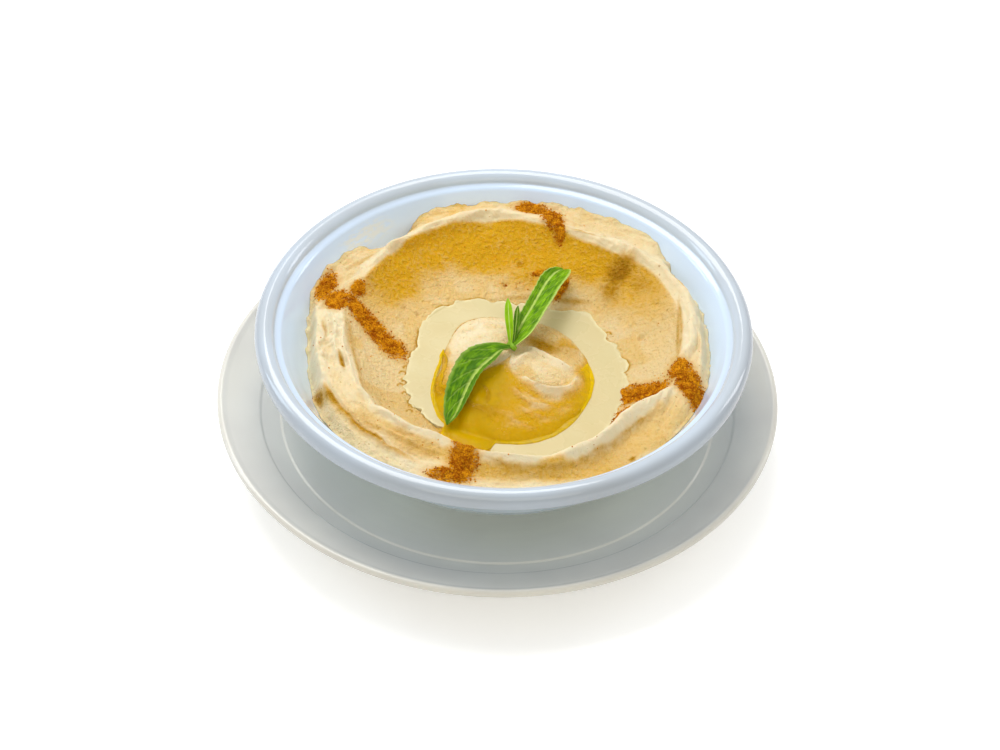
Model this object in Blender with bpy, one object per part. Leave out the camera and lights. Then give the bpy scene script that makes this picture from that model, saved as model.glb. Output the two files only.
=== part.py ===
"""Hummus spread in a thick-rimmed bowl on its saucer, with sauce, olive oil and a mint sprig.

The frame is in metres with +Z up. Its origin is the centre of the saucer's foot, on the table.
-Y is the near side of the dish. Sizes below are in millimetres until a mesh is made.
"""

import math

import bmesh
import bpy
import numpy as np
from mathutils import Vector
from mathutils.bvhtree import BVHTree

MM = 0.001
GAP = 0.3
ROUND_STEPS = 48

# Saucer
SAUCER_RADIUS = 91.4
SAUCER_HEIGHT = 21.3
SAUCER_WELL_RADIUS = 42.0
SAUCER_WELL_TOP = 6.0
SAUCER_WALL = 4.4
SAUCER_LIP = 2.6
SAUCER_CURVE = 1.35
CHANNEL_RADII = (70.8, 77.4)
CHANNEL_DEPTH = 0.6
FOOT_RADII = (46.8, 50.8)
FOOT_RECESS = 2.0

# Bowl
BOWL_SHIFT = 1.5
BOWL_RADIUS = 80.0
BOWL_TOP = 51.0
BOWL_FLOOR = 13.0
BOWL_MOUTH_RADIUS = 73.6
BOWL_FLOOR_RADIUS = 25.0
BOWL_INNER_CURVE = 0.43
BOWL_OUTER_CURVE = 0.6
RIM_BAND = 6.5
BOWL_NECK_RADIUS = 74.8
BOWL_FOOT_RADIUS = 40.0
BOWL_FOOT_TOP = 10.5
BOWL_FOOT_WIDTH = 4.0
BOWL_FOOT_RECESS = 2.7

# Spread: heights above the table. Angles go round the well's centre, from +X.
WELL_CENTRE = (2.6, -5.0)
CREST_DISTANCES = (
    (0, 54.0), (23, 58.5), (43, 61.0), (63, 59.5), (92, 65.0), (115, 65.0), (135, 61.5), (165, 57.0),
    (190, 53.0), (215, 52.0), (240, 49.0), (265, 50.0), (290, 49.5), (312, 46.0), (327, 45.0), (343, 51.0),
)
POOL_DISTANCES = (
    (0, 36.5), (30, 35.5), (52, 36.5), (74, 31.5), (98, 34.5), (135, 37.5), (170, 33.0), (200, 35.5),
    (228, 36.0), (258, 42.0), (287, 45.5), (315, 41.5), (337, 37.5),
)
MOUND_DISTANCES = (
    (0, 25.5), (45, 24.5), (90, 25.5), (130, 26.5), (152, 24.5), (175, 22.5), (200, 26.0), (231, 32.0),
    (262, 33.5), (290, 33.0), (322, 28.5),
)
POOL_HEIGHT = 35.0
POOL_DEPTH = 1.8
SHELF_HEIGHT = 44.3
SLOPE_SHARES = (0.22, 0.78, 2.4)
# Where the spread meets the bowl: angle round the bowl's axis, height
EDGE_HEIGHTS = (
    (0, 41.2), (30, 42.4), (62, 44.4), (92, 43.6), (112, 43.0), (128, 39.2), (145, 37.4), (165, 38.4),
    (195, 38.6), (230, 40.2), (270, 42.0), (310, 41.8),
)
EDGE_BLEND = 7.0

# Folds that the spoon left, anticlockwise: path, height, width inside and outside, faded end shares
FOLDS = (
    (((54, -14), (57, 0), (57, 18), (49, 36), (37, 45), (22, 52), (8, 59), (-10, 60.5), (-29, 51), (-42, 37),
      (-48, 24)), 2.4, 2.9, 4.4, 0.12, 0.14),
    (((-54, 12), (-51.5, -3), (-48, -18), (-43, -30), (-34, -38)), 1.3, 2.0, 2.6, 0.2, 0.3),
    (((-59, 20), (-61, 0), (-58, -17), (-50, -35), (-37, -49), (-20, -58)), 1.7, 2.2, 2.4, 0.2, 0.25),
    (((-38, -32), (-26, -43), (-12, -52), (3, -55.5), (19, -52.5), (31, -42), (40, -31), (50, -24.5),
      (59, -19)), 2.3, 3.4, 4.4, 0.2, 0.12),
    (((60, -18), (64, -5), (63.5, 10), (59, 26), (52, 38)), 1.0, 1.8, 2.6, 0.2, 0.3),
)
FOLD_STEPS = 36

# Mound in the middle of the well
MOUND_HEIGHT = 6.8
HOLLOW_CENTRE = (13.0, 1.5)
HOLLOW_RADIUS = 6.5
HOLLOW_DEPTH = 2.2
CURL = (((5, -19), (14, -22), (22, -16), (25, -6), (21, 1)), 1.3, 1.5, 2.4, 0.2, 0.3)
LOWER_CURL = (((2, -6), (6, -12), (13, -13.5), (20, -10), (24, -3)), 1.5, 1.4, 2.0, 0.2, 0.3)

# Liquids
SAUCE_REACH = 48.0
OIL_LEVEL = 35.5
OIL_FILM = 1.0
OIL_SPAN = (148.0, 368.0)
OIL_OVERLAP = 1.0

# Mint sprig: stem node, then leaf tips, widths and fold
SPRIG_NODE = (2.4, -2.0, 43.9)
# Leaf: tip, half width, rise of the middle, share of the width that the fold lifts
LEAVES = (
    ((-17.0, -33.0, 38.2), 4.9, 1.2, 0.30),
    ((20.0, 39.0, 42.2), 4.6, 1.6, 0.55),
    ((1.0, 12.4, 50.2), 1.3, -0.8, 0.45),
    ((4.6, 11.6, 48.0), 1.0, -0.6, 0.45),
)
LEAF_THICKNESS = 0.9
LEAF_STEPS = 12
STEM_RADIUS = 1.2
STEM_LENGTH = 5.0


def material(name, colour, roughness):
    """A Principled BSDF with one colour."""
    made = bpy.data.materials.new(name)
    made.use_nodes = True
    shader = made.node_tree.nodes["Principled BSDF"]
    shader.inputs["Base Color"].default_value = (*colour, 1.0)
    shader.inputs["Roughness"].default_value = roughness
    shader.inputs["Metallic"].default_value = 0.0
    return made


def object_from(bm, name, surface, shift_x=0.0, smooth=True):
    """An object whose mesh, in millimetres, is scaled to metres and placed."""
    bmesh.ops.scale(bm, vec=Vector((MM, MM, MM)), verts=bm.verts)
    mesh = bpy.data.meshes.new(name)
    bm.to_mesh(mesh)
    bm.free()
    mesh.materials.append(surface)
    if smooth:
        mesh.shade_smooth()
        mesh.set_sharp_from_angle(angle=math.radians(50))
    made = bpy.data.objects.new(name, mesh)
    made.location.x = shift_x * MM
    bpy.context.scene.collection.objects.link(made)
    return made


def turned(profile):
    """A solid turned round Z from a profile of (radius, height) that starts and ends on the axis."""
    bm = bmesh.new()
    rings = []
    for radius, height in profile:
        if radius == 0.0:
            rings.append([bm.verts.new((0.0, 0.0, height))])
            continue
        turns = (2 * math.pi * step / ROUND_STEPS for step in range(ROUND_STEPS))
        rings.append([bm.verts.new((radius * math.cos(a), radius * math.sin(a), height)) for a in turns])
    for ring, following in zip(rings, rings[1:]):
        bridge(bm, ring, following)
    bmesh.ops.recalc_face_normals(bm, faces=bm.faces)
    return bm


def bridge(bm, ring, following):
    """Faces between two closed rings, either of which may be one pole."""
    steps = max(len(ring), len(following))
    for step in range(steps):
        after = (step + 1) % steps
        corners = [ring[step % len(ring)], ring[after % len(ring)]]
        corners += [following[after % len(following)], following[step % len(following)]]
        bm.faces.new(list(dict.fromkeys(corners)))


def arc(centre_r, centre_z, radius_r, radius_z, start, end, steps):
    """Points (radius, height) along an ellipse's arc, with angles in degrees."""
    turns = np.radians(np.linspace(start, end, steps))
    return [(centre_r + radius_r * math.cos(a), centre_z + radius_z * math.sin(a)) for a in turns]


def saucer_top(radius):
    """Height of the saucer's upper face, with its shallow moulded channel."""
    lip_inside = SAUCER_RADIUS - SAUCER_LIP
    share = max(0.0, (radius - SAUCER_WELL_RADIUS) / (lip_inside - SAUCER_WELL_RADIUS))
    rise = SAUCER_HEIGHT - 0.7 - SAUCER_WELL_TOP
    low, high = CHANNEL_RADII
    channel = CHANNEL_DEPTH if low < radius < high else 0.0
    return SAUCER_WELL_TOP + rise * share**SAUCER_CURVE - channel


def saucer_profile():
    lip = SAUCER_LIP / 2
    lip_centre = SAUCER_RADIUS - lip
    low, high = CHANNEL_RADII
    edge = 0.5
    inner = [SAUCER_WELL_RADIUS, 50.0, 60.0, low - edge, low + edge, high - edge, high + edge, 83.5]
    outer = [84.0, 72.0, 62.0, 54.0]
    foot_in, foot_out = FOOT_RADII
    top = [(0.0, SAUCER_WELL_TOP)] + [(r, saucer_top(r)) for r in inner]
    rim = arc(lip_centre, SAUCER_HEIGHT - lip, lip, lip, 150, -60, 5)
    under = [(r, saucer_top(r) - SAUCER_WALL) for r in outer]
    foot = [(foot_out, FOOT_RECESS), (foot_out - 0.5, 0.0), (foot_in + 0.5, 0.0), (foot_in, FOOT_RECESS)]
    return top + rim + under + foot + [(0.0, FOOT_RECESS)]


def bowl_inner(height):
    """Radius of the bowl's inner wall at a height above the table."""
    share = (height - BOWL_FLOOR) / (BOWL_TOP - BOWL_FLOOR)
    return BOWL_FLOOR_RADIUS + (BOWL_MOUTH_RADIUS - BOWL_FLOOR_RADIUS) * share**BOWL_INNER_CURVE


def bowl_outer(height):
    """Radius of the bowl's outer wall between its foot and the rim band."""
    neck = BOWL_TOP - RIM_BAND
    share = (height - BOWL_FOOT_TOP) / (neck - BOWL_FOOT_TOP)
    return BOWL_FOOT_RADIUS + (BOWL_NECK_RADIUS - BOWL_FOOT_RADIUS) * share**BOWL_OUTER_CURVE


def bowl_profile():
    base = SAUCER_WELL_TOP + GAP
    neck = BOWL_TOP - RIM_BAND
    half = (BOWL_RADIUS - BOWL_MOUTH_RADIUS) / 2
    rim_centre = BOWL_RADIUS - half
    inner = [13.4, 15.5, 20.0, 27.0, 35.0, 42.0, 48.0]
    outer = [38.0, 30.0, 22.0, 15.0]
    inside = [(0.0, BOWL_FLOOR), (BOWL_FLOOR_RADIUS, BOWL_FLOOR)] + [(bowl_inner(z), z) for z in inner]
    rim = arc(rim_centre, BOWL_TOP - half, half, half, 165, 0, 5)
    rim += arc(rim_centre, neck + half * 0.6, half, half * 0.6, 0, -80, 3)
    wall = [(BOWL_NECK_RADIUS, neck - 0.4)] + [(bowl_outer(z), z) for z in outer]
    foot_in = BOWL_FOOT_RADIUS - BOWL_FOOT_WIDTH
    recess = base + BOWL_FOOT_RECESS
    foot = [(BOWL_FOOT_RADIUS, BOWL_FOOT_TOP), (BOWL_FOOT_RADIUS - 0.6, base)]
    foot += [(foot_in + 0.6, base), (foot_in, recess), (0.0, recess)]
    return inside + rim + wall + foot


def along(points, at):
    """Smooth value through (position, value) points, for an array of positions."""
    xs, ys = np.array(points, float).T
    slopes = np.gradient(ys, xs)
    low = np.clip(np.searchsorted(xs, at) - 1, 0, len(xs) - 2)
    span = xs[low + 1] - xs[low]
    t = np.clip((at - xs[low]) / span, 0.0, 1.0)
    start = (1 + 2 * t) * (1 - t) ** 2 * ys[low] + t * (1 - t) ** 2 * span * slopes[low]
    return start + t * t * (3 - 2 * t) * ys[low + 1] + t * t * (t - 1) * span * slopes[low + 1]


def around(points, angle):
    """Smooth value round a full turn, from (angle, value) points in degrees."""
    before = [(a - 360, value) for a, value in points[-2:]]
    after = [(a + 360, value) for a, value in points[:2]]
    return along(before + list(points) + after, angle % 360.0)


def smoothstep(low, high, value):
    t = np.clip((value - low) / (high - low), 0.0, 1.0)
    return t * t * (3 - 2 * t)


def fold(x, y, path, height, inner, outer, fade_in, fade_out):
    """Height of a soft ridge along a path, with a width on each side and ends that fade."""
    corners = np.array(path, float)
    lengths = np.concatenate([[0.0], np.cumsum(np.hypot(*np.diff(corners, axis=0).T))])
    at = np.linspace(0.0, lengths[-1], FOLD_STEPS)
    px, py = (along(list(zip(lengths, corners[:, axis])), at) for axis in (0, 1))
    run_x, run_y = np.diff(px), np.diff(py)
    off_x, off_y = x[..., None] - px[:-1], y[..., None] - py[:-1]
    t = np.clip((off_x * run_x + off_y * run_y) / (run_x**2 + run_y**2), 0.0, 1.0)
    distance = np.hypot(off_x - t * run_x, off_y - t * run_y)
    nearest = np.argmin(distance, axis=-1)[..., None]
    side = np.take_along_axis(run_x * off_y - run_y * off_x, nearest, -1)[..., 0]
    share = (nearest[..., 0] + np.take_along_axis(t, nearest, -1)[..., 0]) / (FOLD_STEPS - 1)
    width = np.where(side > 0.0, inner, outer)
    fade = smoothstep(0.0, fade_in, share) * smoothstep(1.0, 1.0 - fade_out, share)
    return height * fade * np.exp(-((distance.min(axis=-1) / width) ** 1.7))


def lumps(x, y):
    """Slow unevenness of the spread, about 1 either way."""
    waves = ((0.31, 0.12, 0.4), (-0.17, 0.35, 1.9), (0.09, -0.42, 4.1), (0.47, 0.21, 2.7), (-0.38, 0.27, 5.3))
    return sum(np.sin(a * x + b * y + c) for a, b, c in waves) / 2.4


def spread_top(x, y):
    """Height of the hummus above the table at places from the bowl's axis, given as arrays."""
    dx, dy = x - WELL_CENTRE[0], y - WELL_CENTRE[1]
    distance, angle = np.hypot(dx, dy), np.degrees(np.arctan2(dy, dx))
    crest, pool, foot = (around(curve, angle) for curve in (CREST_DISTANCES, POOL_DISTANCES, MOUND_DISTANCES))
    share = np.clip((distance - pool) / (crest - pool), 0.0, 1.0)
    gentle, steep, power = SLOPE_SHARES
    height = POOL_HEIGHT + (SHELF_HEIGHT - POOL_HEIGHT) * (gentle * share + steep * share**power)
    edge = around(EDGE_HEIGHTS, np.degrees(np.arctan2(y, x)))
    wall = bowl_inner(edge)
    outside = smoothstep(wall - EDGE_BLEND, wall - GAP, np.hypot(x, y))
    height = height * (1 - outside) + edge * outside
    for shape in FOLDS:
        height = height + fold(x, y, *shape) * (1 - outside)
    moat = np.clip((distance - foot) / (pool - foot), 0.0, 1.0)
    height = height - POOL_DEPTH * np.sin(math.pi * moat) ** 0.8
    dome = MOUND_HEIGHT * np.clip(1.0 - (distance / foot) ** 2, 0.0, 1.0) ** 0.75
    over = smoothstep(1.0, 0.7, distance / foot)
    from_hollow = np.hypot(x - HOLLOW_CENTRE[0], y - HOLLOW_CENTRE[1])
    hollow = HOLLOW_DEPTH * np.exp(-((from_hollow / HOLLOW_RADIUS) ** 2))
    curls = fold(x, y, *CURL) + fold(x, y, *LOWER_CURL)
    uneven = 0.3 * lumps(x, y) * (0.15 + 0.85 * share)
    return height + dome + over * (curls - hollow) + uneven * (1 - outside)


def spread_reach(turns):
    """Radii at which the spread's top meets the bowl's wall, GAP inside it."""
    radius = np.full(len(turns), BOWL_MOUTH_RADIUS - 5.0)
    for _ in range(12):
        radius = bowl_inner(spread_top(radius * np.cos(turns), radius * np.sin(turns))) - GAP
    return radius


def hummus():
    """The spread: its worked top, and an underside that follows the bowl's wall."""
    shares = np.concatenate([np.linspace(0.08, 0.56, 10), np.linspace(0.61, 1.0, 17)])
    under_shares = (0.86, 0.62, 0.38, 0.16, 0.03)
    bm = bmesh.new()
    turns = np.linspace(0.0, 2 * math.pi, ROUND_STEPS, endpoint=False)
    reach = spread_reach(turns)
    rings = [[bm.verts.new((0.0, 0.0, float(spread_top(np.zeros(1), np.zeros(1))[0])))]]
    for share in shares:
        x, y = reach * share * np.cos(turns), reach * share * np.sin(turns)
        rings.append([bm.verts.new(place) for place in zip(x, y, spread_top(x, y))])
    edge = np.array([vert.co.z for vert in rings[-1]])
    for share in under_shares:
        height = BOWL_FLOOR + share * (edge - BOWL_FLOOR)
        radius = bowl_inner(height) - 2.5 * GAP
        x, y = radius * np.cos(turns), radius * np.sin(turns)
        rings.append([bm.verts.new(place) for place in zip(x, y, height + GAP)])
    rings.append([bm.verts.new((0.0, 0.0, BOWL_FLOOR + 2 * GAP))])
    for ring, following in zip(rings, rings[1:]):
        bridge(bm, ring, following)
    bmesh.ops.triangulate(bm, faces=bm.faces)
    bmesh.ops.recalc_face_normals(bm, faces=bm.faces)
    return bm


def raised_copy(solid, name):
    """A cutter with the shape of a solid, lifted by GAP."""
    cutter = bpy.data.objects.new(name, solid.data.copy())
    cutter.location = solid.location + Vector((0.0, 0.0, GAP * MM))
    cutter.hide_render = True
    cutter.display_type = "WIRE"
    bpy.context.scene.collection.objects.link(cutter)
    return cutter


def cut(solid, cutter):
    modifier = solid.modifiers.new("Cut by " + cutter.name, "BOOLEAN")
    modifier.operation = "DIFFERENCE"
    modifier.object = cutter


def oil_edge(angle):
    """Outer distance of the oil from the well's centre, and the share of it at its inner edge."""
    first, last = OIL_SPAN
    share = (angle - first) / (last - first)
    outer = float(around(MOUND_DISTANCES, np.array(float(angle)))) + OIL_OVERLAP
    return outer, 0.84 - 0.66 * math.exp(-(((share - 0.42) / 0.23) ** 2))


def oil_place(angle, reach):
    """Place, from the bowl's axis, at an angle in degrees and a distance from the well's centre."""
    turn = math.radians(angle)
    return WELL_CENTRE[0] + reach * math.cos(turn), WELL_CENTRE[1] + reach * math.sin(turn)


def oil_body(surface):
    """The oil as a layer over the mound's near side: a level moat at its foot, a film above."""
    first, last = OIL_SPAN
    steps, rows = 30, 5
    bm = bmesh.new()
    columns = []
    for step in range(steps + 1):
        angle = first + (last - first) * step / steps
        outer, inner = oil_edge(angle)
        width = (1 - inner) * math.sin(math.pi * step / steps) ** 0.4 + 0.03
        top, bottom = [], []
        for row in range(rows + 1):
            x, y = oil_place(angle, outer * (1 - width * row / rows))
            hit = surface.ray_cast(Vector((x * MM, y * MM, 1.0)), Vector((0.0, 0.0, -1.0)))[0]
            top.append(bm.verts.new((x, y, max(OIL_LEVEL, hit.z / MM + OIL_FILM))))
            bottom.append(bm.verts.new((x, y, POOL_HEIGHT - 7.0)))
        columns.append(top + bottom[::-1])
    for column, following in zip(columns, columns[1:]):
        bridge(bm, column, following)
    bm.faces.new(columns[0])
    bm.faces.new(columns[-1][::-1])
    bmesh.ops.recalc_face_normals(bm, faces=bm.faces)
    return bm


def oil_outline_cutter():
    """A prism a gap wider than the oil, which keeps the sauce clear of it."""
    first, last = OIL_SPAN
    steps = 30
    bm = bmesh.new()
    rings = []
    for height in (POOL_HEIGHT - 8.0, POOL_HEIGHT + 6.0):
        ring = []
        for step in range(steps + 1):
            angle = first - 1.5 + (last - first + 3.0) * step / steps
            outer = oil_edge(min(max(angle, first), last))[0] + GAP
            ring.append(bm.verts.new((*oil_place(angle, outer), height)))
        rings.append(ring)
    bridge(bm, *rings)
    bm.faces.new(rings[0])
    bm.faces.new(rings[1])
    bmesh.ops.recalc_face_normals(bm, faces=bm.faces)
    return bm


def sauce_body():
    """A flat-topped disc at the sauce's level, before the spread is cut from it."""
    bm = bmesh.new()
    rings = []
    for height in (POOL_HEIGHT - 6.0, POOL_HEIGHT):
        angles = (360.0 * step / ROUND_STEPS for step in range(ROUND_STEPS))
        rings.append([bm.verts.new((*oil_place(angle, SAUCE_REACH), height)) for angle in angles])
    bridge(bm, *rings)
    bm.faces.new(rings[0])
    bm.faces.new(rings[1])
    bmesh.ops.recalc_face_normals(bm, faces=bm.faces)
    return bm


def leaf(node, tip, half_width, rise, fold):
    """A pointed leaf from the stem's node to its tip, arched along and folded across."""
    node, tip = Vector(node), Vector(tip)
    run = tip - node
    side = run.cross(Vector((0.0, 0.0, 1.0))).normalized()
    up = side.cross(run).normalized()
    across = (-1.0, -0.5, 0.0, 0.5, 1.0)
    bm = bmesh.new()
    layers = []
    for layer in (LEAF_THICKNESS / 2, -LEAF_THICKNESS / 2):
        rows = []
        for step in range(LEAF_STEPS + 1):
            t = step / LEAF_STEPS
            width = max(0.22 * half_width, half_width * math.sin(math.pi * t**0.85) ** 0.75)
            middle = node + run * t + up * (rise * math.sin(math.pi * t) + layer)
            row = [middle + side * (width * s) + up * (fold * width * abs(s)) for s in across]
            rows.append([bm.verts.new(place) for place in row])
        layers.append(rows)
    for rows in layers:
        for row, following in zip(rows, rows[1:]):
            for left in range(len(across) - 1):
                bm.faces.new((row[left], row[left + 1], following[left + 1], following[left]))
    upper, lower = layers
    borders = [[row[0] for row in upper], [row[-1] for row in upper], upper[0], upper[-1]]
    under_borders = [[row[0] for row in lower], [row[-1] for row in lower], lower[0], lower[-1]]
    for border, under in zip(borders, under_borders):
        for first in range(len(border) - 1):
            bm.faces.new((border[first], border[first + 1], under[first + 1], under[first]))
    bmesh.ops.recalc_face_normals(bm, faces=bm.faces)
    return bm


def sprig_stem():
    """The stem's short end, with the node from which the leaves grow."""
    bm = bmesh.new()
    bmesh.ops.create_cone(
        bm, cap_ends=True, segments=10, radius1=STEM_RADIUS, radius2=STEM_RADIUS * 1.25, depth=STEM_LENGTH
    )
    lean = Vector((0.6, -1.0, 0.12)).normalized()
    bmesh.ops.rotate(bm, verts=bm.verts, matrix=(-lean).to_track_quat("Z", "Y").to_matrix())
    bmesh.ops.translate(bm, verts=bm.verts, vec=Vector(SPRIG_NODE) + lean * (STEM_LENGTH / 2 - 1.5))
    return bm


def mint_sprig(green):
    """The stem joined to its leaves as one solid."""
    stem = object_from(sprig_stem(), "mint_sprig", green, BOWL_SHIFT)
    for number, shape in enumerate(LEAVES, start=1):
        part = object_from(leaf(SPRIG_NODE, *shape), f"leaf_{number}", green, BOWL_SHIFT)
        part.hide_render = True
        part.display_type = "WIRE"
        join = stem.modifiers.new("Join " + part.name, "BOOLEAN")
        join.operation = "UNION"
        join.object = part
    return stem


def main():
    for leftover in list(bpy.data.objects):
        bpy.data.objects.remove(leftover)
    porcelain = material("Glazed porcelain", (0.86, 0.88, 0.90), 0.12)
    paste = material("Hummus", (0.78, 0.58, 0.33), 0.5)
    cream = material("Tahini sauce", (0.87, 0.74, 0.42), 0.25)
    gold = material("Olive oil", (0.66, 0.44, 0.03), 0.08)
    green = material("Mint leaf", (0.10, 0.36, 0.04), 0.4)

    object_from(turned(saucer_profile()), "saucer", porcelain)
    object_from(turned(bowl_profile()), "bowl", porcelain, BOWL_SHIFT)
    spread = object_from(hummus(), "hummus", paste, BOWL_SHIFT)
    over_spread = raised_copy(spread, "over_spread")

    surface = BVHTree.FromPolygons(
        [vert.co for vert in spread.data.vertices], [face.vertices for face in spread.data.polygons]
    )
    oil = object_from(oil_body(surface), "olive_oil", gold, BOWL_SHIFT, smooth=False)
    cut(oil, over_spread)
    round_oil = object_from(oil_outline_cutter(), "round_oil", cream, BOWL_SHIFT)
    round_oil.hide_render = True
    round_oil.display_type = "WIRE"
    sauce = object_from(sauce_body(), "tahini_sauce", cream, BOWL_SHIFT, smooth=False)
    cut(sauce, over_spread)
    cut(sauce, round_oil)
    mint_sprig(green)


main()
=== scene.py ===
"""Hummus in a thick-rimmed bowl on its saucer: the look of the dish, laid out as a Blender add-on.

Each piece is made by one operator, from the sizes and colours in the property groups below.
Shapes are worked out in millimetres from the bowl's axis and the table top, and each mesh is
stored in metres in the frame of the solids that it stands for.
"""

import math
from collections import namedtuple

import bmesh
import bpy
import numpy as np
from bpy.props import FloatProperty, FloatVectorProperty, IntProperty, PointerProperty
from mathutils import Matrix, Vector


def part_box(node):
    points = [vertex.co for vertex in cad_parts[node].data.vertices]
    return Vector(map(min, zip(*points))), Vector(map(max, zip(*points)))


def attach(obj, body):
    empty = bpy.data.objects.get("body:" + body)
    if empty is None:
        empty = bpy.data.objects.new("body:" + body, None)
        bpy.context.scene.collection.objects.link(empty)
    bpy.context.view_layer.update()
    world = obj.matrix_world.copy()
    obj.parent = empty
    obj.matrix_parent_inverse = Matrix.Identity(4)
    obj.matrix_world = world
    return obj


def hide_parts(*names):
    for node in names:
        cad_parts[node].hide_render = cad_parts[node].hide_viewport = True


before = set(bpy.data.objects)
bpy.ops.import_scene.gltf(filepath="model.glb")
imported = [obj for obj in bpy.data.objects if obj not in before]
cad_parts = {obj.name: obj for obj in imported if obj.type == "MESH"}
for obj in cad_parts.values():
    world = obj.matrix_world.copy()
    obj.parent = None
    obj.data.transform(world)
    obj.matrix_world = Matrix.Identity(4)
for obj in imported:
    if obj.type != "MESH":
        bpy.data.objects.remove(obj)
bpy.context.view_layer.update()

bl_info = {
    "name": "Bowl of hummus",
    "version": (1, 0, 0),
    "blender": (4, 5, 0),
    "location": "3D View > Sidebar > Hummus",
    "description": "Makes a bowl of swirled hummus with tahini, olive oil, cumin and mint",
    "category": "Add Mesh",
}

MM = 0.001
BOWL_LOW, BOWL_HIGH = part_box("bowl")
AXIS_X = (BOWL_LOW[0] + BOWL_HIGH[0]) / 2
GAP = 0.3

# Saucer and bowl, as (radius, height) rules: sizes in millimetres
SAUCER = {
    "radius": 91.4, "height": 21.3, "well_radius": 42.0, "well_top": 6.0, "wall": 4.4, "lip": 2.6,
    "curve": 1.35, "channel_low": 70.8, "channel_high": 77.4, "channel_depth": 0.55,
    "foot_in": 46.8, "foot_out": 50.8, "recess": 2.0,
}
BOWL = {
    "radius": 80.0, "top": 51.0, "floor": 13.0, "mouth": 73.6, "floor_radius": 25.0, "inner_curve": 0.43,
    "outer_curve": 0.6, "band": 6.5, "neck": 74.8, "foot": 40.0, "foot_top": 10.5, "foot_width": 4.0,
    "recess": 2.7, "base": 6.3,
}

# The spread: angles in degrees round the well's centre, distances from it
WELL_CENTRE = (2.6, -5.0)
CREST_DISTANCES = (
    (0, 54.0), (23, 58.0), (43, 60.0), (63, 58.0), (92, 63.6), (115, 63.6), (135, 60.2), (165, 56.4),
    (190, 51.0), (209, 51.4), (225, 49.5), (240, 48.0), (265, 50.8), (288, 51.4), (300, 49.7), (312, 47.8),
    (322, 47.5), (332, 49.2), (343, 53.0),
)
POOL_DISTANCES = (
    (0, 36.5), (30, 35.5), (52, 36.5), (74, 31.5), (98, 34.5), (135, 37.5), (170, 33.0), (200, 35.5),
    (228, 36.0), (258, 42.0), (287, 45.5), (315, 41.5), (337, 37.5),
)
MOUND_DISTANCES = (
    (0, 25.5), (45, 24.5), (90, 25.5), (130, 26.5), (152, 24.5), (175, 22.5), (200, 26.0), (231, 32.0),
    (262, 33.5), (290, 33.0), (322, 28.5),
)
EDGE_HEIGHTS = (
    (0, 39.6), (12, 40.2), (18, 41.2), (28, 39.9), (35, 40.4), (41, 43.4), (55, 44.9), (66, 45.0), (80, 44.0),
    (95, 43.4), (106, 43.8), (116, 42.6), (122, 36.8), (129, 36.0), (135, 40.2), (150, 42.0), (159, 41.4),
    (166, 38.8), (175, 36.4), (185, 34.8), (195, 35.0), (205, 37.8), (218, 40.4), (235, 41.8), (262, 42.2), (310, 41.8),
    (345, 40.6),
)
EDGE_BLEND = 3.6
# How far the shelf lies lower outside the crest
OUTER_DROPS = (
    (0, 0.4), (25, 0.2), (60, 0.4), (100, 0.8), (125, 2.6), (150, 3.0), (168, 0.9), (200, 0.3), (225, 1.0),
    (250, 2.0), (275, 2.6), (300, 2.8), (322, 2.4), (338, 1.0),
)
OUTER_RUN = 6.5
POOL_HEIGHT = 35.0
POOL_DEPTH = 1.8
SHELF_HEIGHT = 44.3
SLOPE_SHARES = (0.22, 0.78, 2.4)
MOUND_HEIGHT = 6.8
HOLLOW = ((13.0, 1.5), 6.5, 2.2)
FOLD_STEPS = 36

# A fold: path, height, width on its left, width on its right, share of its length that each end fades over
Fold = namedtuple("Fold", "path height inner outer fade_in fade_out")
MAIN_FOLDS = (
    Fold(((54, -14), (58.5, -3), (60.2, 9), (58.6, 21), (51, 35), (38.5, 44.2), (22, 52), (8, 59), (-10, 60.8),
          (-29, 51.3), (-42, 37.5), (-49, 24)), 2.6, 1.9, 3.3, 0.1, 0.14),
    Fold(((-53.5, 13), (-51.8, -3), (-49.4, -15), (-46.6, -25), (-43.6, -31)), 2.0, 1.2, 3.0, 0.15, 0.1),
    Fold(((-59, 20), (-61.3, 2), (-59.5, -14), (-55.8, -24), (-49.4, -36), (-41, -46), (-31.5, -54.3),
          (-20, -60.5)), 2.0, 2.1, 1.5, 0.2, 0.25),
    Fold(((-46, -31), (-34, -37.5), (-24, -43), (-12, -51.5), (3, -56.3), (19.5, -54.3), (32, -44.5), (42, -33),
          (50.6, -25), (59, -19)), 2.7, 2.5, 2.9, 0.14, 0.12),
    Fold(((60, -18), (64.5, -5), (64.6, 10), (60.5, 26), (53, 38)), 1.3, 1.5, 2.4, 0.2, 0.3),
)
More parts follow.
